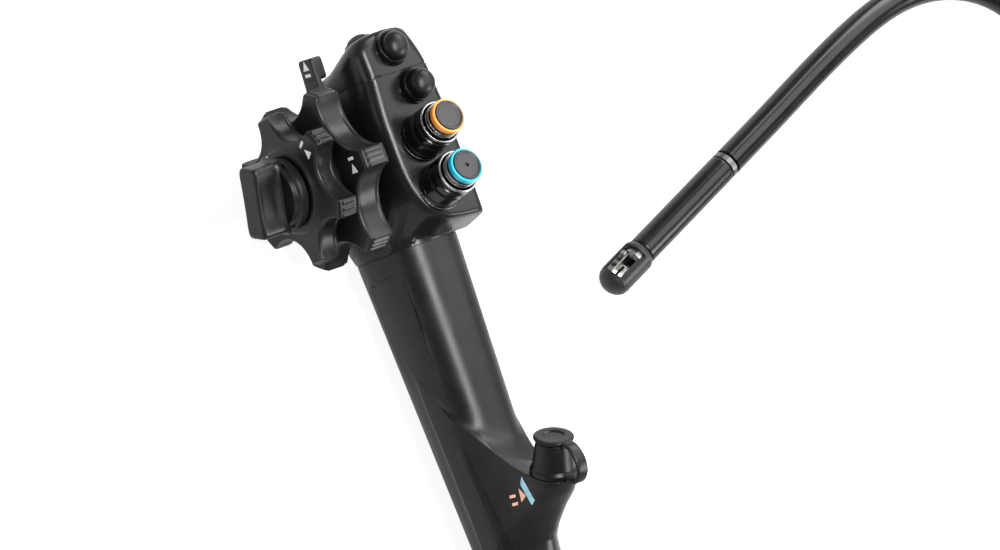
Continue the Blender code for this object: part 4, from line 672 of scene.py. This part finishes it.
def hand_wheel(name, body, base, width, radius, depth, scoop, bore, phase, ribs, pitch, hub):
    """One wheel as rings round the knob axis: underside, edge, rim, edge, face and hub. Each row is a
    height, a share of the rim's radius, an offset from it and how strongly hollows and ribs show."""
    angle = full_turn(100 * LOBES)
    rim, hollow = lobed_rim(angle, radius, depth, scoop)
    step = math.tau / LOBES
    along_tip = (((angle + step / 2) % step) - step / 2) * radius
    ridge = 0.5 - 0.5 * np.cos(math.tau * (along_tip / pitch + (ribs % 2) / 2))
    on_tip = np.clip((pitch * ribs / 2 - np.abs(along_tip)) / 0.2, 0, 1)
    relief = 0.35 * hollow - RIB_HEIGHT * on_tip * ridge**0.7
    face = width - 1.2
    low, high = WHEEL_EDGE + 0.3, face - WHEEL_EDGE - 0.3
    curve = [(1 - math.cos(t), math.sin(t) - 1) for t in np.linspace(0.2, 1.57, 6)]
    curve = [(WHEEL_EDGE * h, WHEEL_EDGE * offset) for h, offset in curve]
    rows = [(0.0, 0.0, bore, 0), (0.0, 0.0, hub, 0), (0.0, 0.6, 0.4 * hub, 0), (0.0, 1.0, -WHEEL_EDGE, 0)]
    rows += [(h, 1.0, offset, 0) for h, offset in curve]
    rows += [(h, 1.0, 0.0, np.clip(min(h - low, high - h) / 0.5, 0, 1)) for h in np.linspace(low, high, 22)]
    rows += [(face - h, 1.0, offset, 0) for h, offset in curve[::-1]]
    rows += [(face, 1.0, -WHEEL_EDGE, 0), (face, 1.0, -WHEEL_EDGE - 0.5, 0), (face, 0.6, 0.4 * hub, 0)]
    rows += [(face, 0.0, hub + 1.6, 0), (face + 0.15, 0.0, hub + 0.9, 0), (width - 0.15, 0.0, hub, 0)]
    rows += [(width, 0.0, hub - 0.5, 0), (width, 0.0, hub - 2.0, 0), (width - 0.8, 0.0, hub - 2.6, 0)]
    rows += [(width - 0.8, 0.0, bore + 1.5, 0), (width, 0.0, bore + 1.1, 0), (width, 0.0, bore, 0)]
    grid = []
    c, s = np.cos(angle + math.radians(phase)), np.sin(angle + math.radians(phase))
    for height, share, offset, shown in rows:
        r = share * rim + offset - shown * relief
        grid.append(joined(r * c, r * s, base + height))
    grid.append(grid[0])
    return skin(name, np.array(grid), KNOB, WHEEL_BLACK, (body,), body=body, angle=32)


UD_BASE, UD_WIDTH, RL_BASE, RL_WIDTH = 26.0, 12.5, 40.0, 10.0
hand_wheel(
    "wheel_up_down", "ud_wheel", UD_BASE, UD_WIDTH, radius=34.2, depth=9.8, scoop=17.0, bore=6.1, phase=2.5,
    ribs=4, pitch=2.1, hub=16.0,
)
hand_wheel(
    "wheel_right_left", "rl_wheel", RL_BASE, RL_WIDTH, radius=28.3, depth=8.4, scoop=12.6, bore=4.6,
    phase=32.5, ribs=3, pitch=2.6, hub=15.6,
)

# Brake knob: a stepped disc with a thick grip bar across it, its long sides hollowed for two fingers.
BRAKE_BASE, DISC_RADIUS, DISC_WIDTH = 50.6, 13.5, 5.6
BAR_HEIGHT, BAR_HALF_WIDTH, BAR_HALF_LENGTH = 11.0, 5.25, 13.5
BAR_TURN = math.radians(18.0)
DISC_TOP, DISC_STEP = BRAKE_BASE + DISC_WIDTH, DISC_RADIUS - 1.6


def squared(values, power):
    """Sines or cosines raised to a power with their signs kept, which squares a circle."""
    return np.sign(values) * np.abs(values) ** power


disc = [
    (0.3, BRAKE_BASE), (DISC_RADIUS, BRAKE_BASE), (DISC_RADIUS, DISC_TOP - 2.56),
    (DISC_RADIUS - 0.5, DISC_TOP - 2.3), (DISC_STEP, DISC_TOP - 1.9), (DISC_STEP, DISC_TOP), (0.1, DISC_TOP),
]
lathe("brake_disc", disc, KNOB, WHEEL_BLACK, ("rl_brake_knob",), 128, 0.45, body="rl_brake_knob")
bar_rows = [(-1.0, -1.0), (-0.5, -0.6), (0.0, -0.35), (0.6, -0.12), (1.4, 0.0)]
bar_rows += [(h, 0.0) for h in np.linspace(2.0, BAR_HEIGHT - 1.7, 14)]
for t in np.linspace(0.0, 1.57, 8):
    bar_rows.append((BAR_HEIGHT - 1.3 * (1 - math.sin(t)), 1.3 * (1 - math.cos(t))))
bar_rows += [(BAR_HEIGHT, i) for i in (1.8, 3.0, 4.2, 5.2)]
bar_grid = []
bar_angles = full_turn(180)
c, s = math.cos(BAR_TURN), math.sin(BAR_TURN)
for h, inset in bar_rows:
    x = (BAR_HALF_WIDTH - inset) * squared(np.cos(bar_angles), 2 / 7)
    y = (BAR_HALF_LENGTH - inset) * squared(np.sin(bar_angles), 2 / 7)
    hollow = np.clip(h / 3.0, 0, 1) * np.clip((BAR_HEIGHT + 1.5 - h) / 4.0, 0, 1)
    x = x * (1 - 0.2 * hollow * np.clip(1 - (y / 11.5) ** 2, 0, 1))
    bar_grid.append(joined(x * c + y * s, y * c - x * s, DISC_TOP + h))
skin("brake_bar", np.array(bar_grid), KNOB, WHEEL_BLACK, ends=(False, True), body="rl_brake_knob", angle=45)

# Valves: stepped black cylinders pressed into the head, each with a fine metal ring at its seat and its
# crown, and a sprung button: a coil spring, two thin steel rings, a colour ring and a slightly dished disc.
VALVE_SLANT = math.radians(11.0)
SPRING_LOW, SPRING_HIGH, SPRING_TURNS, SPRING_RADIUS, WIRE_RADIUS = 10.0, 16.9, 3, 5.5, 0.35
HOUSING = [
    (7.35, 9.5), (7.35, 14.3), (7.7, 14.9), (8.15, 14.9), (8.3, 14.5), (8.3, 13.5), (7.75, 13.1),
    (7.75, 12.3), (8.5, 11.9), (8.5, 9.6), (7.95, 9.2), (7.95, 8.3), (8.6, 7.8), (8.6, 2.9), (8.9, 2.4),
    (8.95, 1.7), (8.95, -1.6), (6.0, -1.6),
]
SEAT_LINE = [(8.5, 0.75), (9.0, 0.75), (9.15, 0.45), (9.0, 0.15), (8.6, 0.15)]
CROWN_RING = [(7.4, 14.7), (7.6, 15.05), (8.05, 15.05), (8.3, 14.8), (8.35, 14.4)]
COLOUR_RING = [(5.9, 21.3), (6.35, 21.45), (6.7, 21.05), (6.75, 20.2), (6.7, 19.1), (6.45, 18.8), (5.9, 18.8)]
CORE = [(6.1, 18.6), (6.1, 17.0), (5.9, 16.5), (5.9, 12.0), (4.2, 11.6)]
DISC_RIM = [(3.2, 21.52), (4.6, 21.62), (5.1, 21.95), (5.6, 21.95), (5.75, 21.7), (5.75, 18.4), (4.3, 18.0)]
DISC_RIM += [(4.3, 9.0)]
DISHED, PIERCED = [(0.01, 21.5)], [(0.01, 20.2), (0.75, 20.2), (0.75, 21.4), (1.0, 21.5)]


def valve(name, height, ring_finish, ring_slot, disc_middle):
    """One valve at a height on the head's front."""
    way = (0, math.sin(VALVE_SLANT), math.cos(VALVE_SLANT))
    place = axes((0, height, HEAD_FRONT), (1, 0, 0), way, CONTROL)
    lathe(name + "_housing", HOUSING, place, GLOSS, (name + "_cylinder",), 96, 0.16)
    lathe(name + "_seat_line", SEAT_LINE, place, DARK_STEEL, (), 96, 0.1, slot="steel")
    lathe(name + "_crown_ring", CROWN_RING, place, GREY_STEEL, (), 96, 0.1, slot="steel")
    body = name + "_button"
    face = disc_middle + DISC_RIM
    lathe(name + "_face", face, place, FACE, (body,), 96, 0.12, body=body, slot="button_face")
    ring = (name + "_colour_ring",)
    lathe(name + "_ring", COLOUR_RING, place, ring_finish, ring, 96, 0.2, body=body, slot=ring_slot)
    for number, level in enumerate((17.4, 15.9)):
        washer = [(6.0, 0.2), (6.85, 0.2), (6.95, 0.0), (6.85, -0.2), (6.0, -0.2)]
        washer = [(radius, level + rise) for radius, rise in washer]
        lathe(f"{name}_washer_{number}", washer, place, GREY_STEEL, (), 80, 0.05, body=body, slot="steel")
    lathe(name + "_core", CORE, place, MATT, (), 64, 0.1, body=body, slot="button_face")
    angle = np.linspace(0.0, SPRING_TURNS * math.tau, 36 * SPRING_TURNS + 1)
    level = np.linspace(SPRING_LOW, SPRING_HIGH, len(angle))
    line = joined(SPRING_RADIUS * np.cos(angle), SPRING_RADIUS * np.sin(angle), level)
    start, end = to_world([(0, 0, SPRING_LOW + 0.5), (0, 0, SPRING_HIGH - 0.5)], place)
    skin(
        name + "_coil_spring", tube_grid(line, WIRE_RADIUS, 12), place, STEEL, (name + "_spring",),
        ends=(True, True), slot="steel", blend=("control_section", body, start.tolist(), end.tolist()),
    )


valve("suction", 36.5, ORANGE, "ring_orange", DISHED)
valve("air_water", 17.2, CYAN, "ring_cyan", PIERCED)

# Remote switches: soft domes in stepped collars, two on the front and one on the sloping top.


def switch(name, origin, normal, height, radius=4.9, collar=6.1):
    """A domed switch that stands on the head along a normal."""
    place = axes(origin, (1, 0, 0), normal, CONTROL)
    top = 0.42 * height
    rim = [
        (radius + 0.2, -0.5), (radius + 0.2, top - 0.2), (radius + 0.5, top), (collar - 0.5, top),
        (collar - 0.1, top - 0.5), (collar, top - 1.1), (collar, 1.0), (collar + 0.5, 0.2),
        (collar + 1.1, -0.3), (collar, -3.8),
    ]
    lathe(name + "_rim", rim, place, GLOSS, (name + "_collar",), 80, 0.3)
    shoulder = height - 0.62 * radius
    t = np.linspace(math.pi / 2, 0, 14)
    dome = [(max(0.01, radius * math.cos(a)), shoulder + (height - shoulder) * math.sin(a)) for a in t]
    dome += [(radius, shoulder - 0.2), (radius, 1.6), (radius - 0.8, 1.4), (radius - 0.8, -1.0)]
    lathe(name + "_dome", dome, place, RUBBER, (name,), 80, body=name, slot="switch_rubber")


TOP_SWITCH_DEPTH = 20.0
top_place = cap_level(TOP_SWITCH_DEPTH) + CAP_TOP_DROP
switch("front_switch", (4.5, 55.6, HEAD_FRONT), (0, 0, 1), 10.0, 5.2, 6.3)
switch("upper_switch", (1.0, 71.6, HEAD_FRONT - 0.6), (0, 0.08, 1), 7.6, 5.3, 6.5)
switch("top_switch", (-2.0, top_place, TOP_SWITCH_DEPTH), (0, 1, -HEAD_TOP_SLOPE), 4.2)

# Levers on the knob boss: the elevator's lever with its upright finger tab and the brake lever of the
# larger wheel. Both are moulded, with rounded edges and fine ribs along their tabs.
LEVER_HUB, LEVER_BORE, LEVER_THICK, LEVER_BASE, TAB_SPAN = 13.0, 8.8, 2.6, 19.5, 5.5


def lever(name, base, angle, reach, length, width, span):
    """A ring on the boss, an arm that narrows outwards and a tab of a given span at its end."""
    top = base + LEVER_THICK
    ring = [(LEVER_BORE, base), (LEVER_HUB, base), (LEVER_HUB, top), (LEVER_BORE, top), (LEVER_BORE, base)]
    lathe(name + "_ring", ring, KNOB, WHEEL_BLACK, (name,), 96, 0.4, body=name)
    place = axes((0, 0, 0), (math.cos(angle), math.sin(angle), 0), (0, 0, 1), KNOB)
    t = full_turn(72)
    square, lift = squared(np.cos(t), 0.25), squared(np.sin(t), 0.25)
    rows = []
    arm_start = LEVER_HUB - 1.5
    for share in np.linspace(0, 1, 24):
        x = arm_start + share * (reach - 2.0 - arm_start)
        half = width / 2 + 1.5 * (1 - share) ** 1.5
        level = base + LEVER_THICK / 2 + (LEVER_THICK / 2 - 0.1) * lift
        rows.append(joined(x, half * square, level))
    skin(name + "_arm", np.array(rows), place, WHEEL_BLACK, ends=(True, True), body=name)
    steps = [(0, 1.0), (0.08, 0.45), (0.4, 0.1)] + [(h, 0) for h in np.linspace(0.8, span - 0.8, 26)]
    steps += [(span - 0.4, 0.1), (span - 0.08, 0.45), (span, 1.0), (span, 2.2), (span, 3.2)]
    rows = []
    for level, inset in steps:
        rib = 0.22 * (0.5 + 0.5 * math.cos(math.tau * level / 1.5)) if 1.2 < level < span - 1.2 else 0.0
        x = reach - length / 2 + (length / 2 - inset - rib) * square
        rows.append(joined(x, (width / 2 - inset) * lift, LEVER_BASE + level))
    skin(name + "_tab", np.array(rows), place, WHEEL_BLACK, ends=(True, True), body=name)
    return place


lever("ud_brake_lever", LEVER_BASE, math.radians(215), 33.0, 7.0, 9.0, 2.6)
elevator_tab = lever("elevator_lever", LEVER_BASE + 2.9, math.radians(86), 44.0, 8.6, 8.4, TAB_SPAN)

# Instrument port: a steel neck, a soft cap over the port's collar, and a thin lid on a looped strap.
lean = math.cos(PORT_LEAN), math.sin(PORT_LEAN)
PORT = axes(PORT_SEAT, (0, -lean[1], lean[0]), (0, *lean), CONTROL)
cap = [
    (2.1, 4.0), (2.1, 11.5), (3.4, 13.0), (6.7, 13.0), (6.8, 12.0), (7.05, 10.8), (8.0, 3.0), (8.3, 2.4),
    (8.9, 1.7), (8.9, 0.35), (3.6, 0.35),
]
lathe("port_cap", cap, PORT, RUBBER, ("biopsy_cap",), 96, 0.3, slot="boot_rubber")
neck = [(2.1, 6.0), (4.7, 6.0), (4.7, 4.4), (3.2, 4.0), (3.2, -14.0), (2.1, -14.0), (2.1, 6.0)]
lathe("port_neck", neck, PORT, STEEL, ("port_fitting",), 64, 0.15, slot="steel")
lid = [(0.01, 14.5), (3.6, 14.5), (4.4, 15.05), (6.6, 15.1), (7.6, 14.75), (7.7, 14.2), (7.4, 13.65)]
lid += [(6.6, 13.3), (0.01, 13.3)]
lathe("port_lid", lid, PORT, RUBBER, ("biopsy_lid",), 96, 0.25, body="biopsy_lid", slot="boot_rubber")
STRAP_LINE = [(7.0, 14.3), (10.5, 13.7), (14.3, 10.6), (15.9, 5.9), (14.2, 1.6), (10.6, 0.9), (8.2, 1.3)]
strap_line = smooth_path([(x, 0, z) for x, z in STRAP_LINE], 60)
strap_normal = np.cross(unit(np.gradient(strap_line, axis=0)), (0, 1, 0))
t = full_turn(32)
flat, thick = 2.5 * squared(np.cos(t), 0.5), 0.8 * squared(np.sin(t), 0.6)
strap = strap_line[:, None, :] + strap_normal[:, None, :] * thick[None, :, None]
strap = strap + np.array((0, 1, 0)) * flat[None, :, None]
start_point, end_point = to_world([(15.9, 0, 10.0), (15.9, 0, 1.0)], PORT)
skin(
    "port_strap", strap, PORT, RUBBER, ends=(True, True), slot="boot_rubber", angle=50,
    blend=("biopsy_lid", "control_section", start_point.tolist(), end_point.tolist()),
)

# Prints and inlay: two coloured marks on the web, plain white marks on the tab and both wheels, and a bare
# inlay strip beside the web, all a few hundredths to tenths of a millimetre thick.
PLACES = {"ud_wheel": KNOB, "rl_wheel": KNOB, "elevator_lever": elevator_tab, "control_section": CONTROL}


def printed(name, outline, to_place, material=WHITE, body="control_section", slot="button_face"):
    """A thin plate over an outline of (x, y) pairs: rings shrink to its middle and drop at its rim. The
    given function turns x, y and height arrays into places in the control section's or a joint's frame."""
    outline = np.array(outline, float)
    closed = np.concatenate([outline, outline[:1]])
    dense = np.concatenate([np.linspace(a, b, 12, endpoint=False) for a, b in zip(closed, closed[1:])])
    middle = outline.mean(axis=0)
    rows = []
    for share, height in ((0.02, 0.07), (0.35, 0.07), (0.7, 0.07), (0.98, 0.07), (1.0, 0.042), (1.0, -0.1)):
        ring = middle + (dense - middle) * share
        rows.append(to_place(ring[:, 0], ring[:, 1], height))
    return skin(name, np.array(rows), PLACES[body], material, ends=(True, False), body=body, slot=slot)


def turned_outline(outline, degrees, centre):
    """An outline turned about the origin and moved to a centre."""
    c, s = math.cos(math.radians(degrees)), math.sin(math.radians(degrees))
    return np.array(outline, float) @ np.array([[c, s], [-s, c]]) + centre


def flat_at(level):
    """A flat place at a level of a frame."""
    return lambda x, y, height: joined(x, y, level + height)


def on_web(x, y, height):
    """The wheels' side of the web: x runs down the grip and y towards the port."""
    return on_grip(-x, y, height)


ARROW = [(-1.8, -1.5), (1.8, -1.5), (0, 2.0)]
DASH = [(-1.6, -0.6), (1.6, -0.6), (1.6, 0.6), (-1.6, 0.6)]
DOT = joined(0.9 * np.cos(full_turn(24)), 2.2 * np.sin(full_turn(24)))
RL_FACE, UD_FACE, TAB_FACE = RL_BASE + RL_WIDTH - 1.2, UD_BASE + UD_WIDTH - 1.2, LEVER_BASE + TAB_SPAN
MARKS = [
    ("rl_mark_0", "rl_wheel", RL_FACE, ARROW, 35, (18.6, 10.6)),
    ("rl_mark_1", "rl_wheel", RL_FACE, DASH, 35, (16.8, 14.4)),
    ("ud_mark_0", "ud_wheel", UD_FACE, ARROW, 0, (26.6, -0.6)),
    ("ud_mark_1", "ud_wheel", UD_FACE, DASH, 0, (26.8, 3.4)),
    ("rl_dot", "rl_wheel", RL_BASE + RL_WIDTH, DOT, 112, (-6.0, 13.9)),
    ("tab_mark_0", "elevator_lever", TAB_FACE, ARROW, -90, (41.4, 0.0)),
    ("tab_mark_1", "elevator_lever", TAB_FACE, DASH, -90, (38.0, 0.0)),
]
for name, body, level, outline, degrees, centre in MARKS:
    printed(name, turned_outline(outline, degrees, centre), flat_at(level), body=body)
BLUE_BAR = [(93.4, 28.4), (96.0, 26.6), (104.6, 28.4), (103.2, 30.4)]
PEACH_ARROW = [(97.2, 25.2), (102.4, 24.4), (100.6, 27.2)]
printed("blue_mark", BLUE_BAR, on_web, BLUE_PRINT, slot="ring_cyan")
printed("peach_mark", PEACH_ARROW, on_web, PEACH_PRINT, slot="ring_orange")
for number, down in enumerate((98.6, 101.6)):
    dash = [(down, 20.4), (down + 1.1, 20.2), (down + 1.3, 22.6), (down + 0.2, 22.8)]
    printed(f"peach_dash_{number}", dash, on_web, PEACH_PRINT, slot="ring_orange")

STRIP_TOP, STRIP_HALF = -76.2, 1.75
strip_rows = []
for height in np.concatenate([np.linspace(-76.3, -78.2, 12), np.linspace(-79.5, -132, 50)]):
    depth = np.linspace(-6, 26, 60)
    places = on_grip(height, depth, 0.0)
    middle = -5.6 + (height + 78.0) * (-0.1)
    end = np.clip((STRIP_TOP - height) / STRIP_HALF, 0, 1)
    half = STRIP_HALF * math.sqrt(end * (2 - end))
    share = np.linspace(-1, 1, 13)
    z = np.interp(middle + half * share, places @ across, depth)
    x = np.interp(z, depth, places[:, 0])
    raised = 0.16 * np.clip((1 - np.abs(share)) * half / 0.35, 0, 1) ** 0.5 * min(1.0, end * 3) - 0.04
    strip_rows.append(joined(x - raised, height, z))
skin("inlay_strip", np.array(strip_rows), CONTROL, SATIN, wrap=False, angle=60)

# Ring and boot at the grip's lower end, and the inlet of the light guide cord on the far side.
BOOT = axes((0, -150.3, 0), (1, 0, 0), (0, -1, 0), CONTROL)
ring = [(5.8, 0.05), (13.7, 0.05), (14.25, 0.5), (14.3, 1.0), (14.3, 5.2), (13.9, 5.8), (5.8, 5.95)]
lathe("boot_ring_turned", ring, BOOT, DARK_STEEL, ("boot_ring",), 128, 0.2, slot="steel")
boot_profile = [(5.9, 64.0), (7.35, 64.0)]
for share in np.linspace(1.0, 0.0, 90):
    groove = 0.4 * (0.5 - 0.5 * math.cos(math.tau * share * 9)) if 0.06 < share < 0.96 else 0.0
    boot_profile.append((7.35 + 5.85 * (1 - share) ** 1.6 - groove, 6.3 + share * 57.6))
boot_profile += [(12.4, 6.3), (6.0, 6.3)]
lathe("boot_sleeve", boot_profile, BOOT, RUBBER, ("boot",), 96, slot="boot_rubber")
GLAND = axes((HEAD_FAR_SIDE, 22.0, -1.0), (0, 1, 0), (1, 0, 0), CONTROL)
gland = [
    (5.6, 4.2), (5.6, 15.0), (8.0, 15.0), (9.5, 14.0), (9.6, 13.4), (9.6, 5.2), (10.4, 4.4), (11.9, 3.7),
    (12.0, 3.2), (12.0, 0.9), (6.2, 0.8), (6.2, -2.0),
]
lathe("cord_inlet", gland, GLAND, GLOSS, ("cord_gland",), 128, 0.3)

# Bending section: a thin glossy rubber cover over the links, in ten lengths, one round each hinge, fixed where
# they stand;
# it is drawn in at both ends, where it is bound.
COVER_START, COVER_END = 2.9, FIRST_HINGE + (HINGES - 0.5) * HINGE_PITCH + 1.15
bodies = ["control_section"] + [f"link_{i:02d}" for i in range(1, HINGES)] + ["distal_end"]
hinges = [FIRST_HINGE + i * HINGE_PITCH for i in range(HINGES)]
cuts = [COVER_START] + [hinge + HINGE_PITCH / 2 for hinge in hinges[:-1]] + [COVER_END]
for i, hinge in enumerate(hinges):
    z = np.linspace(cuts[i], cuts[i + 1], 16)
    radius = 5.68 - 0.5 * np.exp(-np.minimum(z - COVER_START, COVER_END - z) / 0.25)
    a, b = to_world([(0, 0, hinge - 1.6), (0, 0, hinge + 1.6)], BEND)
    skin(
            f"bending_cover_{i + 1:02d}", turned(radius, z, 64), BEND, WET_RUBBER,
            ("bending_rubber",) if i == 0 else (), slot="cover_rubber",
            blend=(bodies[i], bodies[i + 1], a.tolist(), b.tolist()),
        )

# CAD nodes that keep their own shape get their finish here.
FINISHES = {
    STEEL: ["elevator", "elevator_pin", "air_water_nozzle", "knob_spindle"],
    GREY_STEEL: ["distal_body"],
    DARK_STEEL: ["distal_collar", "bending_ferrule"] + [f"vertebra_{i:02d}" for i in range(1, HINGES)],
    BRASS: ["rl_drum_shaft", "ud_drum_shaft", "base_plate"],
    GREY: ["distal_cap"],
    LENS: ["objective_lens", "light_lens"],
    MATT: ["instrument_channel"],
}
for look, names in FINISHES.items():
    for node_name in names:
        frame["nodes"][node_name].data.materials.clear()
        frame["nodes"][node_name].data.materials.append(look)
to_world([TUBE_LEAD[0]], CONTROL)[0].tolist()

# Floor, world and lights: floor and world look white to the camera by their own glow and are dimmer in
# mirrored rays, so that black pieces stay black; five soft area lights stand round the object.
FLOOR_COLOUR, FLOOR_GLOW, MIRROR_SHARE = 0.35, 0.9, 0.5
MIRROR_LOW, MIRROR_HIGH, DIFFUSE_LIGHT = 0.5, 0.05, 0.3
PURE_WHITE = (1.0, 1.0, 1.0, 1.0)


def light_path(tree):
    """1 for a ray that comes straight from the camera or through glass, and 1 for a mirrored one."""
    rays = Field(tree).node("ShaderNodeLightPath").socket.node.outputs
    seen = Field(tree, rays["Is Camera Ray"]) + Field(tree, rays["Is Transmission Ray"])
    return seen, Field(tree, rays["Is Glossy Ray"])


floor_mesh = bpy.data.meshes.new("floor")
floor_mesh.from_pydata([(-4, -4, 0), (4, -4, 0), (4, 4, 0), (-4, 4, 0)], [], [(0, 1, 2, 3)])
placed("floor", floor_mesh)
floor_look = bpy.data.materials.new("floor")
floor_look.use_nodes = True
tree = floor_look.node_tree
base = tree.nodes["Principled BSDF"].inputs
base["Base Color"].default_value = (FLOOR_COLOUR, FLOOR_COLOUR, FLOOR_COLOUR, 1.0)
base["Roughness"].default_value = 0.9
base["Specular IOR Level"].default_value = 0.0
seen, mirrored = light_path(tree)
glow = (seen + mirrored * MIRROR_SHARE) * FLOOR_GLOW
base["Emission Color"].default_value = PURE_WHITE
tree.links.new(glow.socket, base["Emission Strength"])
floor_mesh.materials.append(floor_look)

world = bpy.data.worlds.new("studio")
bpy.context.scene.world = world
world.use_nodes = True
tree = world.node_tree
paper = tree.nodes["Background"].inputs
way = Field(tree).node("ShaderNodeTexCoord", output=0)
up = way.node("ShaderNodeSeparateXYZ", {"Vector": way}, output=2)
seen, mirrored = light_path(tree)
sky = up.step(0.05, 0.7, MIRROR_LOW, MIRROR_HIGH) * mirrored + DIFFUSE_LIGHT * (1.0 - mirrored)
paper["Color"].default_value = PURE_WHITE
tree.links.new((seen + sky * (1.0 - seen)).socket, paper["Strength"])
bpy.context.scene.view_settings.view_transform = "Standard"


def lamp(name, place, aim_at, size, power):
    """A rectangular soft light at a place in the control section's frame, aimed at a point of it."""
    data = bpy.data.lights.new(name, "AREA")
    data.shape = "RECTANGLE"
    data.size, data.size_y = size
    data.energy = power
    light = placed(name, data)
    start, end = (Vector(point) for point in to_world([place, aim_at], CONTROL))
    light.location = start
    light.rotation_mode = "QUATERNION"
    light.rotation_quaternion = (end - start).to_track_quat("-Z", "Y")


lamp("key", (-70, 20, 750), (0, -20, 0), (0.15, 0.5), 9.0)
lamp("front", (440, 120, 600), (0, 30, 10), (0.45, 0.6), 3.4)
lamp("upper right", (460, 460, 400), (0, 0, 10), (0.3, 0.3), 3.0)
lamp("lower right", (460, -440, 450), (0, 0, 10), (0.3, 0.3), 4.0)
lamp("left", (-740, 80, 60), (0, 0, 10), (0.15, 0.5), 0.7)
